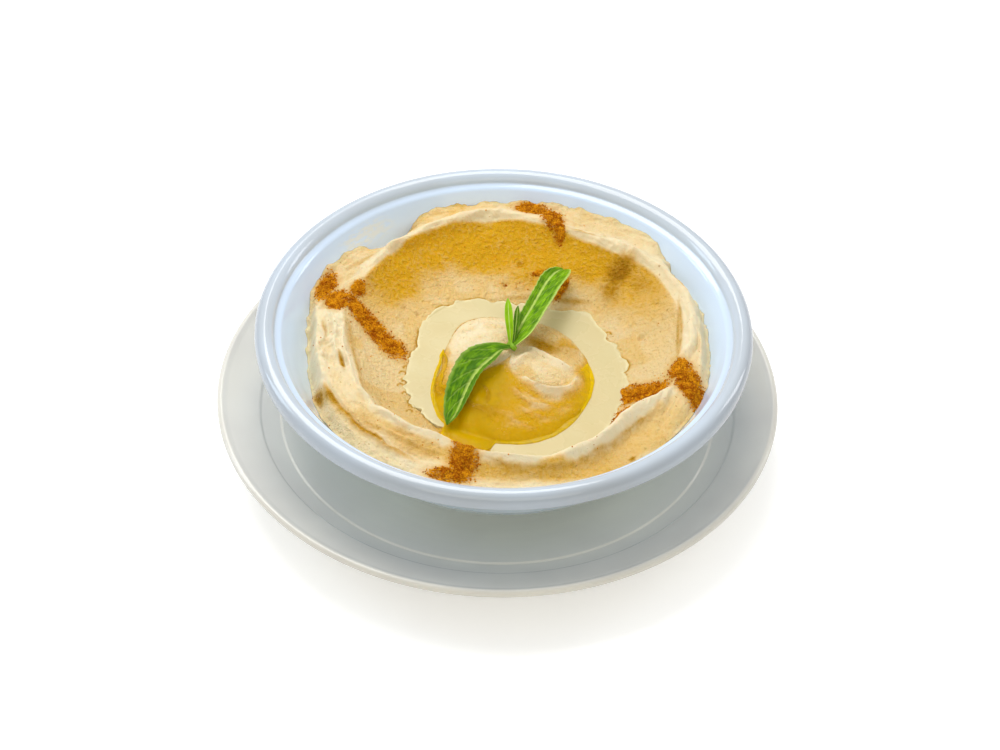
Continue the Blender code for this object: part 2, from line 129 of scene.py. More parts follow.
MOUND_FOLDS = (
    Fold(((5, -14.5), (9, -17.5), (13.5, -19.8), (19.5, -18.2), (23.8, -12.5), (25.4, -6)), 2.8, 1.0, 2.0, 0.15, 0.3),
    Fold(((6, -20.5), (10, -24), (16, -25.6)), 0.8, 0.7, 1.1, 0.25, 0.3),
    Fold(((4, -25.5), (9, -29), (15.5, -30)), 0.8, 0.6, 1.1, 0.25, 0.3),
    Fold(((1, -29.5), (6, -33), (12.5, -34)), 0.7, 0.6, 1.0, 0.25, 0.3),
    Fold(((-7, -18), (-4.5, -22), (-5, -27)), 0.6, 0.8, 1.0, 0.3, 0.3),
    Fold(((7, 0.5), (12, -1.2), (17, -5.2), (21.5, -7.4), (23.2, -4.6)), 1.7, 1.0, 1.7, 0.15, 0.3),
    Fold(((7, -15.6), (11, -17.6), (15.5, -17.8), (20, -14.5)), -1.6, 0.9, 0.9, 0.2, 0.3),
    Fold(((2, -12), (4, -8), (8, -3.5), (11, -2)), 1.6, 1.0, 1.3, 0.2, 0.3),
    Fold(((2, -18), (6, -23), (12, -26.5), (18, -25)), 1.3, 0.9, 1.3, 0.25, 0.3),
    Fold(((-14, -22), (-8, -27), (0, -29), (8, -31)), 0.6, 1.3, 1.7, 0.25, 0.3),
    Fold(((-18, 8), (-13, 14), (-4, 17.5)), 0.7, 1.6, 2.2, 0.3, 0.4),
)
# Smaller strokes that only the look needs
FINE_FOLDS = (
    Fold(((-61, 8), (-58.4, -2), (-57.2, -12), (-54, -22)), 1.1, 1.0, 1.3, 0.2, 0.3),
    Fold(((-57, 12), (-56.2, 3), (-54, -8), (-50.5, -18)), 1.2, 0.8, 1.1, 0.15, 0.3),
    Fold(((-58.5, 8), (-57.5, -4), (-54.5, -15)), -0.9, 0.6, 0.7, 0.15, 0.3),
    Fold(((-54.5, 11), (-53.4, 0), (-51, -12), (-47.5, -22)), -0.8, 0.6, 0.8, 0.2, 0.3),
    Fold(((-62, 14), (-58.5, 9.5), (-53.5, 12.5)), 1.3, 0.8, 1.5, 0.3, 0.3),
    Fold(((-61, 3), (-57, 0), (-52.5, 4)), 0.9, 0.8, 1.1, 0.3, 0.3),
    Fold(((-60, -7), (-55, -10.5), (-50, -7.5)), 0.8, 0.8, 1.1, 0.3, 0.3),
    Fold(((-57, -14), (-52.5, -17.5), (-48, -15)), 0.8, 0.8, 1.2, 0.3, 0.3),
    Fold(((-52.3, -10), (-51, -14), (-50.2, -18)), -1.3, 0.6, 0.7, 0.3, 0.3),
    Fold(((-47, -24), (-43.5, -28), (-39.5, -29.5)), 1.2, 0.9, 1.3, 0.3, 0.3),
    Fold(((-55, -19), (-50, -27), (-43, -34), (-34, -40), (-25, -46)), 0.9, 1.0, 1.2, 0.15, 0.2),
    Fold(((-59.2, -15), (-57, -22.5), (-51.4, -32.4), (-43.8, -41.8), (-34.5, -50)), -1.7, 0.8, 1.1, 0.15, 0.25),
    Fold(((-38, -38.5), (-30, -43), (-21, -47.6)), -0.8, 0.8, 1.0, 0.2, 0.3),
    Fold(((-40, -42), (-31, -46.5), (-20, -51.5)), 0.9, 0.9, 1.3, 0.2, 0.3),
    Fold(((-41, -46), (-32, -50.8), (-21, -55.3)), -0.9, 1.1, 1.2, 0.3, 0.3),
    Fold(((56.2, -8), (58.2, 1), (58.6, 12), (57, 20)), -0.7, 0.6, 0.8, 0.2, 0.3),
    Fold(((58.8, -9), (62.2, 1), (62.8, 12), (60.4, 22)), -0.9, 0.8, 0.9, 0.2, 0.3),
    Fold(((65, -12), (67.2, 3), (65.6, 17)), 0.8, 1.0, 1.2, 0.3, 0.3),
    Fold(((28, 46.5), (35, 47), (42, 43.2)), 1.2, 1.0, 1.4, 0.25, 0.3),
    Fold(((31, 50), (38, 47.5), (44, 41.5), (49, 36)), 0.9, 0.8, 1.0, 0.3, 0.3),
    Fold(((20, 54.5), (27, 51.5), (33, 50)), -0.9, 0.8, 0.9, 0.3, 0.3),
    Fold(((28, 54), (36, 51), (43, 46.5)), 0.8, 0.9, 1.1, 0.3, 0.3),
    Fold(((40, -34), (32, -41), (24, -46.3), (14, -50)), 0.7, 1.4, 1.6, 0.2, 0.4),
    Fold(((57, -23), (50, -31), (44, -38)), 0.5, 1.2, 1.8, 0.2, 0.3),
    Fold(((52, -22), (46.5, -23), (41.5, -26)), 1.0, 1.0, 1.3, 0.3, 0.3),
    Fold(((-20, 56.5), (-8, 61.8), (2, 61.8)), 0.5, 0.7, 0.9, 0.3, 0.3),
    Fold(((-33, 56), (-20, 63.5), (-4, 67)), 0.8, 1.2, 1.5, 0.3, 0.3),
    Fold(((-56, 22), (-50, 31), (-41, 41)), 0.8, 0.9, 1.3, 0.3, 0.3),
    Fold(((-60, 29), (-54, 34), (-47, 39)), 0.8, 1.1, 1.1, 0.3, 0.3),
)
# Rough, torn places: centre, half length, half width, angle, strength
ROUGH_SPOTS = (
    ((38, 46.5), 10, 4.0, -32, 1.5), ((53, 37), 4.5, 8, 38, 0.7), ((66.5, 5), 2.6, 17, 0, 1.3),
    ((-56.5, -4), 5.0, 19, -6, 2.0), ((2, 66), 34, 3.4, 0, 0.9), ((-47, 36), 9, 2.2, 44, 0.8),
    ((-38, -48), 15, 3.2, -42, 1.1), ((19, 20), 7, 5, 28, 0.9), ((-40, -29), 2.6, 1.8, 0, 1.0),
    ((46, -20), 6, 3, -12, 0.7), ((24, -60), 22, 3.5, 22, 0.4), ((42, 41), 4, 2, -40, 0.9),
)
# Small pits: place, radius, depth
PITS = (
    ((5, 44), 1.1, 0.9), ((3.2, 45.5), 0.8, 0.6), ((0, 36), 0.9, 0.9), ((-33, 22.5), 0.8, 0.9),
    ((-28.5, 20.5), 0.6, 0.6), ((45, 10.5), 1.1, 1.1), ((-36, 15), 0.6, 0.5), ((-12, 42), 0.7, 0.5),
    ((-22, 34), 0.6, 0.5), ((17, 39), 0.7, 0.5), ((50, 22), 0.9, 0.6), ((38, 20), 0.7, 0.6),
    ((-40, -3), 0.6, 0.5), ((-36, -14), 0.5, 0.5), ((33, 26), 0.8, 0.6), ((-35, 33), 0.6, 0.5),
)

# Deep golden places, deep oil in hollows and painted shade in dips and grooves: centre, radius along and across, angle,
# strength
GOLD_AND_SHADE_SPOTS = (
    ((37.6, 37.6), 4.6, 3.8, 35, 1.15), ((35, 32.5), 3.4, 4.6, -12, 0.65), ((44, 32), 5.0, 2.6, -40, 0.35),
    ((13, 3.4), 6.4, 3.2, -22, 0.7), ((19.5, 2.5), 5.0, 4.0, -30, 0.28), ((-58.2, -25.0), 3.4, 0.9, -66, 1.0),
    ((22, 29.0), 6.0, 1.5, -10, 0.45), ((5.5, 30.4), 6.5, 1.3, 3, 0.35), ((-44.6, -42.8), 8.0, 1.0, -52, 0.3),
    ((-34, -51.5), 8.0, 1.5, -32, 0.4), ((-29, -45.5), 9, 1.2, -27, 0.35), ((27, 51), 6.0, 1.0, -20, 0.45),
    ((41, -51.5), 1.2, 0.8, 40, 0.9), ((-31.5, 56.8), 3.4, 1.6, 30, 0.4), ((13.5, -18.6), 3.6, 1.0, 5, 0.55),
    ((-6, -25), 6.5, 10.0, -28, 0.72), ((-9, -39), 8.0, 4.0, -10, 0.6), ((-51.4, -14), 3.4, 0.7, -75, 0.8), ((-58, 2), 3.6, 0.6, -80, 0.4), ((56.3, 6), 13, 0.6, 88, 0.4),
    ((-47.5, 39.5), 6.0, 1.2, 42, 0.3), ((57, 29), 5.0, 0.8, -62, 0.4), ((28, -41.5), 8.5, 0.8, 44, 0.35),
)
# Golden, but not deep, places on the mound
WARM_SPOTS = (((20.5, 6), 5.0, 7.0, -25, 1.0), ((12, 8), 6.0, 4.0, -15, 0.9), ((8, 3), 3.0, 3.0, 0, 0.6))
# Pale places on the mound: paler paste, partly painted highlight
PALE_SPOTS = (
    ((-10, 6), 9.0, 13.0, -20, 0.95), ((0, 14), 10.0, 5.0, 10, 0.7), ((11, -9), 6.0, 3.6, -20, 0.4),
    ((16, -7), 8.0, 1.6, -25, 0.5), ((10, -27), 6.0, 1.0, 20, 0.6), ((14, -23), 6.0, 1.0, 12, 0.6), ((15, -30), 5.0, 0.9, 30, 0.5),
    ((4, -33), 4.0, 1.2, 10, 0.4), ((20, -25), 4.0, 1.4, 40, 0.5), ((1, -8), 3.0, 4.0, 0, 0.6),
)
# Painted shade along creases and on the shaded sides of ridges: path, width to its left and right, strength
SHADE_LINES = (
    (((-57.4, -22.5), (-51.6, -33), (-44, -42.4), (-34.5, -50.6)), 0.9, 1.3, 0.9),
    (((-45, -37), (-38.9, -42.6), (-29.3, -48.1), (-17.3, -54)), 0.4, 1.5, 0.4),
    (((-50.4, 10), (-48.6, -3), (-46.1, -15), (-43.2, -26), (-40.6, -29)), 0.6, 0.6, 0.3),
    (((56.4, 22), (57.3, 10), (56.7, -1.8), (55.4, -9)), 0.5, 0.5, 0.4),
    (((9.3, -16.8), (13.5, -18.5), (16.5, -18.2)), 0.5, 0.4, 0.9),
    (((19, -47), (25.5, -43), (32.5, -36.5)), 0.4, 0.4, 0.8),
    (((-8, -55), (3, -58.8), (20, -57.2), (33.6, -47.2), (44, -35.6), (52, -28.5)), 0.5, 1.2, 0.45),
)
# Pale strokes of the spread: paler paste, partly painted highlight on ridges
PALE_STROKES = (
    ((-56.5, -4), 4.6, 19, -6, 1.0), ((-34.5, -37), 14.0, 3.6, -29, 1.0), ((-22, -46), 9.0, 3.4, -29, 0.9),
    ((-48, -31), 6.0, 3.0, -45, 0.8), ((37, 47.5), 10.0, 3.0, -36, 0.9), ((-47, 30), 6.0, 2.4, 50, 0.6),
    ((60, 8), 2.6, 22, -4, 0.7), ((66, 2), 2.6, 20, 0, 0.5), ((46, -29.6), 11.0, 1.3, 36, 1.0), ((28, -47.6), 10.0, 1.2, 38, 0.9),
    ((-42, -56), 12.0, 2.8, -38, 0.6), ((0, -63), 16.0, 2.0, 0, 0.5), ((19, -63.6), 11.0, 2.0, 8, 0.75),
)
# Bubbles and inlets at the sauce's edge: place, radius
BUBBLES = (
    ((-27, -22.5), 2.7), ((-31.2, -5), 0.9), ((-32.2, -8), 1.1), ((-31.4, -11.5), 0.8), ((-32.6, -14), 1.0),
    ((-31.2, -17.5), 0.8), ((-29.4, -26), 0.9), ((31.5, 8), 0.7), ((36.8, -6), 0.8), ((34, 13.5), 0.9),
)
# Ground cumin: centre, half length, half width, angle, strength
CUMIN_PATCHES = (
    ((8, 65), 5.0, 3.0, -8, 1.0), ((15.5, 59), 3.0, 5.0, 10, 1.0), ((17.5, 53), 1.6, 3.5, 5, 0.9),
    ((-58.5, 26), 2.6, 6.5, -12, 0.9), ((-54.5, 18), 3.2, 5.0, 5, 1.0), ((-48, 23.5), 2.0, 3.0, -30, 0.9),
    ((-42.5, 10), 12.5, 3.3, -47, 1.0), ((-36, 3.5), 5.0, 3.6, -40, 0.9), ((59.5, -19), 3.6, 8.5, 20, 1.0),
    ((57, -13), 3.4, 4.2, 5, 1.0), ((45.2, -16), 7.0, 3.7, -14, 1.0), ((39.8, -16), 3.6, 3.9, -10, 0.9),
    ((39, -24.5), 5.0, 2.0, 32, 0.42), ((36.5, -27.5), 1.8, 1.4, 30, 0.7), ((-12.6, -47), 2.5, 7.5, 8, 0.85),
    ((-11.4, -56), 3.9, 5.0, 8, 1.0), ((-15.5, -61.5), 6.0, 2.6, -6, 1.0), ((-4.6, -48.6), 5.2, 1.2, -22, 0.8),
    ((12.5, 40.5), 3.6, 1.2, 10, 0.6), ((18.8, 33.5), 1.1, 4.5, -28, 0.75), ((5, 44.5), 2.6, 1.4, 30, 0.16),
    ((0, 36), 1.4, 1.0, 0, 0.3), ((7, 36), 5.0, 3.0, 40, 0.10), ((-1, -46.5), 3.0, 1.4, 0, 0.2),
)

# Inner edge of the oil on the mound, as a share of the mound's distance at each angle
OIL_INNER = (
    (0, 0.90), (9, 1.0), (30, 1.05), (140, 1.05), (153, 1.02), (163, 0.97), (174, 0.90), (186, 0.88), (196, 0.87),
    (207, 0.85), (213, 0.74), (219, 0.36), (238, 0.06), (262, 0.12), (278, 0.24), (294, 0.42), (302, 0.60),
    (310, 0.70), (323, 0.77), (340, 0.83), (352, 0.84),
)
OIL_FROM, OIL_TO = 158.0, 368.0
# Where the oil runs over the sauce's ring to the crest: angles at which it begins and ends
SPILL = (233.0, 262.0)


def rgb(name, description, default):
    """A colour property."""
    return FloatVectorProperty(
        name=name, description=description, subtype="COLOR", size=3, min=0.0, max=1.0, default=default
    )


def length(name, description, default):
    """A length property, in metres."""
    return FloatProperty(name=name, description=description, unit="LENGTH", default=default)


class HummusTableware(bpy.types.PropertyGroup):
    turns: IntProperty(name="Turns", description="Segments round the bowl and saucer", default=240)
    glaze: rgb("Glaze", "Glazed porcelain", (0.515, 0.565, 0.62))
    # Painted light: the bowl within the mouth's radius gets a lighter, bluer copy of the glaze that stands for cool
    # light in its shade.
    shade: rgb("Inner glaze", "Bluish glaze of the bowl's inside", (0.66, 0.80, 1.0))
    # Painted light: the bowl's outer wall below the rim is lighter and warmer than the rim, standing for light that
    # reaches it.
    wall: rgb("Wall", "Tint of the bowl's outer wall under the rim", (0.90, 0.88, 0.79))
    # Painted light and shade: the saucer is lighter in its well, under the bowl, and darker towards its edge.
    saucer_well_light: rgb("Saucer glaze", "Glaze of the saucer in its well", (0.96, 0.94, 0.81))
    saucer_edge_shade: rgb("Saucer edge", "Glaze of the saucer towards its edge", (0.68, 0.65, 0.59))
    waviness: FloatProperty(name="Waviness", description="Unevenness of the glaze", default=0.03)


class HummusSpread(bpy.types.PropertyGroup):
    turns: IntProperty(name="Turns", description="Columns of the mesh round the bowl", default=680)
    rings: IntProperty(name="Rings", description="Rows of the mesh from the sauce out", default=138)
    mound_turns: IntProperty(name="Mound turns", description="Columns of the mesh round the mound", default=420)
    mound_rings: IntProperty(name="Mound rings", description="Rows of the mesh over the mound", default=190)
    streak: length("Streak depth", "Depth of the fine spoon streaks", 0.00024)
    grain: length("Grain depth", "Depth of the paste's grain", 0.00008)
    paste: rgb("Paste", "The paste where it is moist", (0.84, 0.625, 0.305))
    # Pale paste: paler paste on crests, and painted highlight on the tops of ridges.
    pale: rgb("Pale paste", "Crests and folds", (0.78, 0.67, 0.44))
    # Gold: paste steeped in oil, also used as painted shade on the front outer flank and under the back crest.
    gold_and_shade: rgb("Gold", "Paste that has soaked up oil", (0.73, 0.385, 0.008))
    # Deep gold: oil in hollows, also used as painted shade in creases, grooves and dips.
    deep: rgb("Deep gold", "Oil that stands in hollows", (0.36, 0.16, 0.001))
    stain: rgb("Spice stain", "Paste under the cumin", (0.52, 0.17, 0.002))


class HummusLiquids(bpy.types.PropertyGroup):
    sauce: rgb("Sauce", "Tahini sauce", (0.65, 0.55, 0.29))
    # Painted highlight: the sauce's narrow edge is lighter, standing for light on its rim.
    sauce_edge_highlight: rgb("Sauce edge", "Thin edge of the sauce", (0.80, 0.72, 0.42))
    oil: rgb("Oil", "Olive oil", (0.84, 0.54, 0.002))
    oil_deep: rgb("Deep oil", "Olive oil where it is deep", (0.56, 0.32, 0.0))
    wobble: length("Edge wobble", "Waviness of the sauce's edge", 0.0011)


class HummusGarnish(bpy.types.PropertyGroup):
    leaf_dark: rgb("Leaf shade", "Dark green of the mint", (0.056, 0.165, 0.001))
    leaf_light: rgb("Leaf light", "Bright green of the mint", (0.30, 0.57, 0.003))
    rib: rgb("Rib", "Midribs and stem", (0.58, 0.72, 0.18))
    cumin_dark: rgb("Dark cumin", "Darkest grains", (0.40, 0.10, 0.002))
    cumin_light: rgb("Light cumin", "Lightest grains", (0.82, 0.38, 0.01))
    cumin_density: FloatProperty(name="Cumin density", description="Grains per square metre", default=2.6e7)
    grain_size: length("Grain size", "Length of a cumin grain", 0.00042)


class HummusStage(bpy.types.PropertyGroup):
    elevation: FloatProperty(
        name="Elevation", description="Camera's height as an angle", subtype="ANGLE", default=math.radians(41.95)
    )
    distance: length("Distance", "Camera's distance from the rim's middle", 1.1242)
    lens: FloatProperty(name="Lens", description="Focal length in millimetres", default=126.0)
    roll: FloatProperty(name="Roll", description="Camera's roll", subtype="ANGLE", default=math.radians(1.47))
    floor: rgb("Floor", "Pale floor", (0.93, 0.93, 0.93))
    glow: FloatProperty(name="Floor glow", description="Light that the floor adds of its own", default=0.35)
    key: FloatProperty(name="Key light", description="Power of the high back light", unit="POWER", default=7.6)
    world: FloatProperty(name="Ambient", description="Strength of the surrounding light", default=0.64)
    near_light: rgb("Near light", "Surrounding light from the near side", (0.80, 0.77, 0.66))
    far_light: rgb("Far light", "Surrounding light from above and behind", (0.93, 0.96, 1.0))


# Shapes in millimetres

def along(points, at):
    """Smooth value through (position, value) points, for an array of positions."""
    xs, ys = np.array(points, float).T
    slopes = np.gradient(ys, xs)
    low = np.clip(np.searchsorted(xs, at) - 1, 0, len(xs) - 2)
    span = xs[low + 1] - xs[low]
    t = np.clip((at - xs[low]) / span, 0.0, 1.0)
    start = (1 + 2 * t) * (1 - t) ** 2 * ys[low] + t * (1 - t) ** 2 * span * slopes[low]
    return start + t * t * (3 - 2 * t) * ys[low + 1] + t * t * (t - 1) * span * slopes[low + 1]


def around(points, angle):
    """Smooth value round a full turn, from (angle, value) points in degrees."""
    before = [(a - 360, value) for a, value in points[-2:]]
    after = [(a + 360, value) for a, value in points[:2]]
    return along(before + list(points) + after, angle % 360.0)


def smoothstep(low, high, value):
    t = np.clip((value - low) / (high - low), 0.0, 1.0)
    return t * t * (3 - 2 * t)


def noise(u, v, seed):
    """Smooth noise of about 1 either way, with one cell per unit, that repeats after 64 cells."""
    table = np.random.default_rng(seed).random((64, 64)) * 2 - 1
    i, j = np.floor(u).astype(int), np.floor(v).astype(int)
    s, t = smoothstep(0, 1, u - i), smoothstep(0, 1, v - j)
    i0, i1, j0, j1 = i % 64, (i + 1) % 64, j % 64, (j + 1) % 64
    low = table[i0, j0] * (1 - s) + table[i1, j0] * s
    high = table[i0, j1] * (1 - s) + table[i1, j1] * s
    return (low * (1 - t) + high * t) * 1.3


def spots(x, y, places):
    """Strongest of several soft ellipses, each (centre, half length, half width, angle, strength)."""
    total = np.zeros(np.shape(x))
    for (cx, cy), half_length, half_width, angle, strength in places:
        c, s = math.cos(math.radians(angle)), math.sin(math.radians(angle))
        u = ((x - cx) * c + (y - cy) * s) / half_length
        v = (-(x - cx) * s + (y - cy) * c) / half_width
        total = np.maximum(total, strength * np.exp(-((u * u + v * v) ** 1.3)))
    return total


def fold_height(x, y, fold):
    """Height that one soft ridge or groove along a path adds."""
    corners = np.array(fold.path, float)
    lengths = np.concatenate([[0.0], np.cumsum(np.hypot(*np.diff(corners, axis=0).T))])
    at = np.linspace(0.0, lengths[-1], FOLD_STEPS)
    px, py = (along(list(zip(lengths, corners[:, axis])), at) for axis in (0, 1))
    reach = 4.0 * max(fold.inner, fold.outer)
    near = (x > px.min() - reach) & (x < px.max() + reach) & (y > py.min() - reach) & (y < py.max() + reach)
    result = np.zeros(x.shape)
    run_x, run_y = np.diff(px), np.diff(py)
    off_x, off_y = x[near][:, None] - px[:-1], y[near][:, None] - py[:-1]
    t = np.clip((off_x * run_x + off_y * run_y) / (run_x**2 + run_y**2), 0.0, 1.0)
    distance = np.hypot(off_x - t * run_x, off_y - t * run_y)
    nearest = np.argmin(distance, axis=-1)[:, None]
    side = np.take_along_axis(run_x * off_y - run_y * off_x, nearest, -1)[:, 0]
    share = (nearest[:, 0] + np.take_along_axis(t, nearest, -1)[:, 0]) / (FOLD_STEPS - 1)
    width = np.where(side > 0.0, fold.inner, fold.outer)
    fade = smoothstep(0.0, fold.fade_in, share) * smoothstep(1.0, 1.0 - fold.fade_out, share)
    result[near] = fold.height * fade * np.exp(-((distance.min(axis=-1) / width) ** 1.7))
    return result


def lumps(x, y):
    """Slow unevenness of the spread, about 1 either way."""
    waves = ((0.31, 0.12, 0.4), (-0.17, 0.35, 1.9), (0.09, -0.42, 4.1), (0.47, 0.21, 2.7), (-0.38, 0.27, 5.3))
    return sum(np.sin(a * x + b * y + c) for a, b, c in waves) / 2.4


def bowl_inner(height):
    """Radius of the bowl's inner wall at a height above the table."""
    share = (height - BOWL["floor"]) / (BOWL["top"] - BOWL["floor"])
    return BOWL["floor_radius"] + (BOWL["mouth"] - BOWL["floor_radius"]) * share ** BOWL["inner_curve"]


def bowl_outer(height):
    """Radius of the bowl's outer wall between its foot and the rim band."""
    share = (height - BOWL["foot_top"]) / (BOWL["top"] - BOWL["band"] - BOWL["foot_top"])
    return BOWL["foot"] + (BOWL["neck"] - BOWL["foot"]) * share ** BOWL["outer_curve"]


def well_polar(x, y):
    """Distance and angle from the well's centre."""
    dx, dy = x - WELL_CENTRE[0], y - WELL_CENTRE[1]
    return np.hypot(dx, dy), np.degrees(np.arctan2(dy, dx)) % 360.0


def well_place(angle, distance):
    """Place at an angle in degrees and a distance from the well's centre."""
    turn = np.radians(angle)
    return WELL_CENTRE[0] + distance * np.cos(turn), WELL_CENTRE[1] + distance * np.sin(turn)


def slope_share(x, y):
    """0 at the pool's edge, 1 at the crest and beyond."""
    distance, angle = well_polar(x, y)
    pool, crest = around(POOL_DISTANCES, angle), around(CREST_DISTANCES, angle)
    return (distance - pool) / (crest - pool)


def wall_share(x, y):
    """0 on the spread, rising to 1 where it meets the bowl's wall, and the height of that edge."""
    angle = np.degrees(np.arctan2(y, x))
    edge = around(EDGE_HEIGHTS, angle) + 0.35 * noise(angle / 5.0, 0 * angle, 5) + 0.3 * noise(angle / 2.1, 0 * angle, 6)
    wall = bowl_inner(edge)
    return smoothstep(wall - EDGE_BLEND, wall - GAP, np.hypot(x, y)), edge


def spread_base(x, y):
    """Height of the hummus above the table, before its fine relief."""
    distance, angle = well_polar(x, y)
    pool, foot = around(POOL_DISTANCES, angle), around(MOUND_DISTANCES, angle)
    share = np.clip(slope_share(x, y), 0.0, 1.0)
    gentle, steep, power = SLOPE_SHARES
    height = POOL_HEIGHT + (SHELF_HEIGHT - POOL_HEIGHT) * (gentle * share + steep * share**power)
    outside, edge = wall_share(x, y)
    beyond = distance - around(CREST_DISTANCES, angle)
    height = height - around(OUTER_DROPS, angle) * smoothstep(1.0, OUTER_RUN, beyond)
    height = height * (1 - outside) + edge * outside
    height = height + sum(fold_height(x, y, fold) for fold in MAIN_FOLDS) * (1 - outside)
    moat = np.clip((distance - foot) / (pool - foot), 0.0, 1.0)
    spill = smoothstep(SPILL[0] - 5, SPILL[0] + 2, angle) * smoothstep(SPILL[1] + 4, SPILL[1] - 3, angle)
    height = height - POOL_DEPTH * np.sin(math.pi * moat) ** 0.8 * (1 - 1.4 * spill)
    dome = MOUND_HEIGHT * np.clip(1.0 - (distance / foot) ** 2, 0.0, 1.0) ** 0.75
    over = smoothstep(1.0, 0.7, distance / foot)
    (hx, hy), radius, depth = HOLLOW
    hollow = depth * np.exp(-((np.hypot(x - hx, y - hy) / radius) ** 2))
    curls = sum(fold_height(x, y, fold) for fold in MOUND_FOLDS)
    uneven = 0.3 * lumps(x, y) * (0.15 + 0.85 * share)
    return height + dome + over * (curls - hollow) + uneven * (1 - outside)


def curds(x, y, size, seed):
    """Rounded lumps with creases between them, about 1 either way."""
    return 1.0 - 2.4 * np.abs(noise(x / size, y / size, seed))


def spread_top(x, y, streak, grain):
    """Height of the hummus with its small folds, streaks, grain and pits."""
    distance, angle = well_polar(x, y)
    share = slope_share(x, y)
    outside, _ = wall_share(x, y)
    warp = 1.5 * noise(x / 6, y / 6, 11)
    height = spread_base(x + 0.35 * warp, y - 0.35 * warp)
    height = height + sum(fold_height(x + warp, y - warp, fold) for fold in FINE_FOLDS) * (1 - outside)
    run = angle * distance / 700.0
    lines = noise(run + 3, distance / 1.5 + warp, 21) + 0.6 * noise(run * 2.1, distance / 0.8 - warp, 22)
    worked = 0.15 + 0.85 * smoothstep(0.9, 1.08, share) * (1 - 0.7 * smoothstep(235, 250, angle) *
                                                          smoothstep(335, 322, angle))
    worked = worked * (1 - 0.8 * smoothstep(0.02, -0.05, share))
    downward = noise(angle * 0.55, distance / 9.0, 24) * smoothstep(1.02, 1.12, share)
    height = height + streak * (worked * lines + 0.5 * downward)
    rough = spots(x, y, ROUGH_SPOTS)
    near = curds(x, y, 1.9, 31) + 0.7 * curds(x + 9, y, 1.1, 32) + 0.8 * noise(x / 4.5, y / 4.5, 33)
    torn = curds(x + 0.3 * y, y, 2.4, 34) + 0.6 * curds(x, y + 5, 1.3, 35)
    calm = 1 - 0.6 * smoothstep(0.0, -0.1, share) * smoothstep(200.0, 190.0, np.abs(angle - 280) + 100)
    height = height + grain * (near * calm + 2.6 * rough * torn)
    for (px, py), radius, depth in PITS:
        height = height - depth * np.exp(-((np.hypot(x - px, y - py) / radius) ** 3))
    return height


def pool_edge(angle, wobble):
    """Ragged outer edge of the sauce, as a distance at each angle."""
    still = 0 * angle
    wave = 0.9 * noise(angle / 10.0, still, 51) + 0.8 * noise(angle / 4.4, still + 7, 52)
    bays = sum(np.clip(1 - ((angle - at) / 2.6) ** 2, 0, None) for at in (192, 203, 214))
    return around(POOL_DISTANCES, angle) + wobble * (wave - 1.3 * bays) + 0.25 * noise(angle / 1.9, still, 54)


def grid(name, xs, ys, zs, surface, closed_round=True, cap=None, attributes=None):
    """A smooth mesh object from rows of millimetre coordinates, each row a ring or a strip."""
    rows, columns = xs.shape
    points = np.stack([xs * MM + AXIS_X, ys * MM, zs * MM], axis=-1).reshape(-1, 3)
    last = columns if closed_round else columns - 1
    r, c = np.meshgrid(np.arange(rows - 1), np.arange(last), indexing="ij")
    after = (c + 1) % columns
    faces = np.stack([r * columns + c, r * columns + after, (r + 1) * columns + after, (r + 1) * columns + c], -1)
    faces = [tuple(face) for face in faces.reshape(-1, 4).tolist()]
    if cap is not None:
        for row in cap:
            ring = [row * columns + k for k in range(columns)]
            faces.append(tuple(ring[::-1] if row == 0 else ring))
    mesh = bpy.data.meshes.new(name)
    mesh.from_pydata(points.tolist(), [], faces)
    for key, values in (attributes or {}).items():
        layer = mesh.attributes.new(key, "FLOAT", "POINT")
        layer.data.foreach_set("value", np.asarray(values, np.float32).ravel())
    mesh.materials.append(surface)
    mesh.shade_smooth()
    made = bpy.data.objects.new(name, mesh)
    bpy.context.scene.collection.objects.link(made)
    return made


def settle(piece, node, replace=True):
    """Hangs a finished piece under the root body and, when it replaces a part, hides that part."""
    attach(piece, "root")
    if replace:
        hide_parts(node)


# Node helpers

def add(tree, kind, inputs=None, **settings):
    """A node with its settings, and its inputs set from values or linked from sockets."""
    made = tree.nodes.new(kind)
    for key, value in settings.items():
        setattr(made, key, value)
    for key, value in (inputs or {}).items():
        socket = made.inputs[key]
        if isinstance(value, bpy.types.NodeSocket):
            tree.links.new(value, socket)
        elif isinstance(value, (tuple, list)) and len(value) == 3 and len(getattr(socket, "default_value", "abc")) == 4:
            socket.default_value = (*value, 1.0)
        else:
            socket.default_value = value
    return made


def maths(tree, operation, first, second=0.0):
    return add(tree, "ShaderNodeMath", {0: first, 1: second}, operation=operation).outputs[0]


def blend(tree, factor, first, second, mode="MIX"):
    """Colour mix of two colours or sockets."""
    made = add(tree, "ShaderNodeMix", data_type="RGBA", blend_type=mode)
    for socket, value in zip((made.inputs[0], made.inputs[6], made.inputs[7]), (factor, first, second)):
        if isinstance(value, bpy.types.NodeSocket):
            tree.links.new(value, socket)
        else:
            socket.default_value = (*value, 1.0) if isinstance(value, (tuple, list)) else value
    return made.outputs[2]


def span(tree, value, low, high, to_low=0.0, to_high=1.0):
    """Smooth map of a value from one range to another."""
    inputs = {"Value": value, "From Min": low, "From Max": high, "To Min": to_low, "To Max": to_high}
    return add(tree, "ShaderNodeMapRange", inputs, interpolation_type="SMOOTHSTEP").outputs[0]


def grainy(tree, place, size, detail=3.0, stretch=(1, 1, 1)):
    """Noise with cells of a size in millimetres, at Object coordinates."""
    scaled = add(tree, "ShaderNodeMapping", {"Vector": place, "Scale": stretch})
    inputs = {"Vector": scaled.outputs[0], "Scale": 1.0 / (size * MM), "Detail": detail, "Roughness": 0.55}
    return add(tree, "ShaderNodeTexNoise", inputs).outputs[0]


def attribute(tree, name):
    return add(tree, "ShaderNodeAttribute", attribute_name=name).outputs["Fac"]


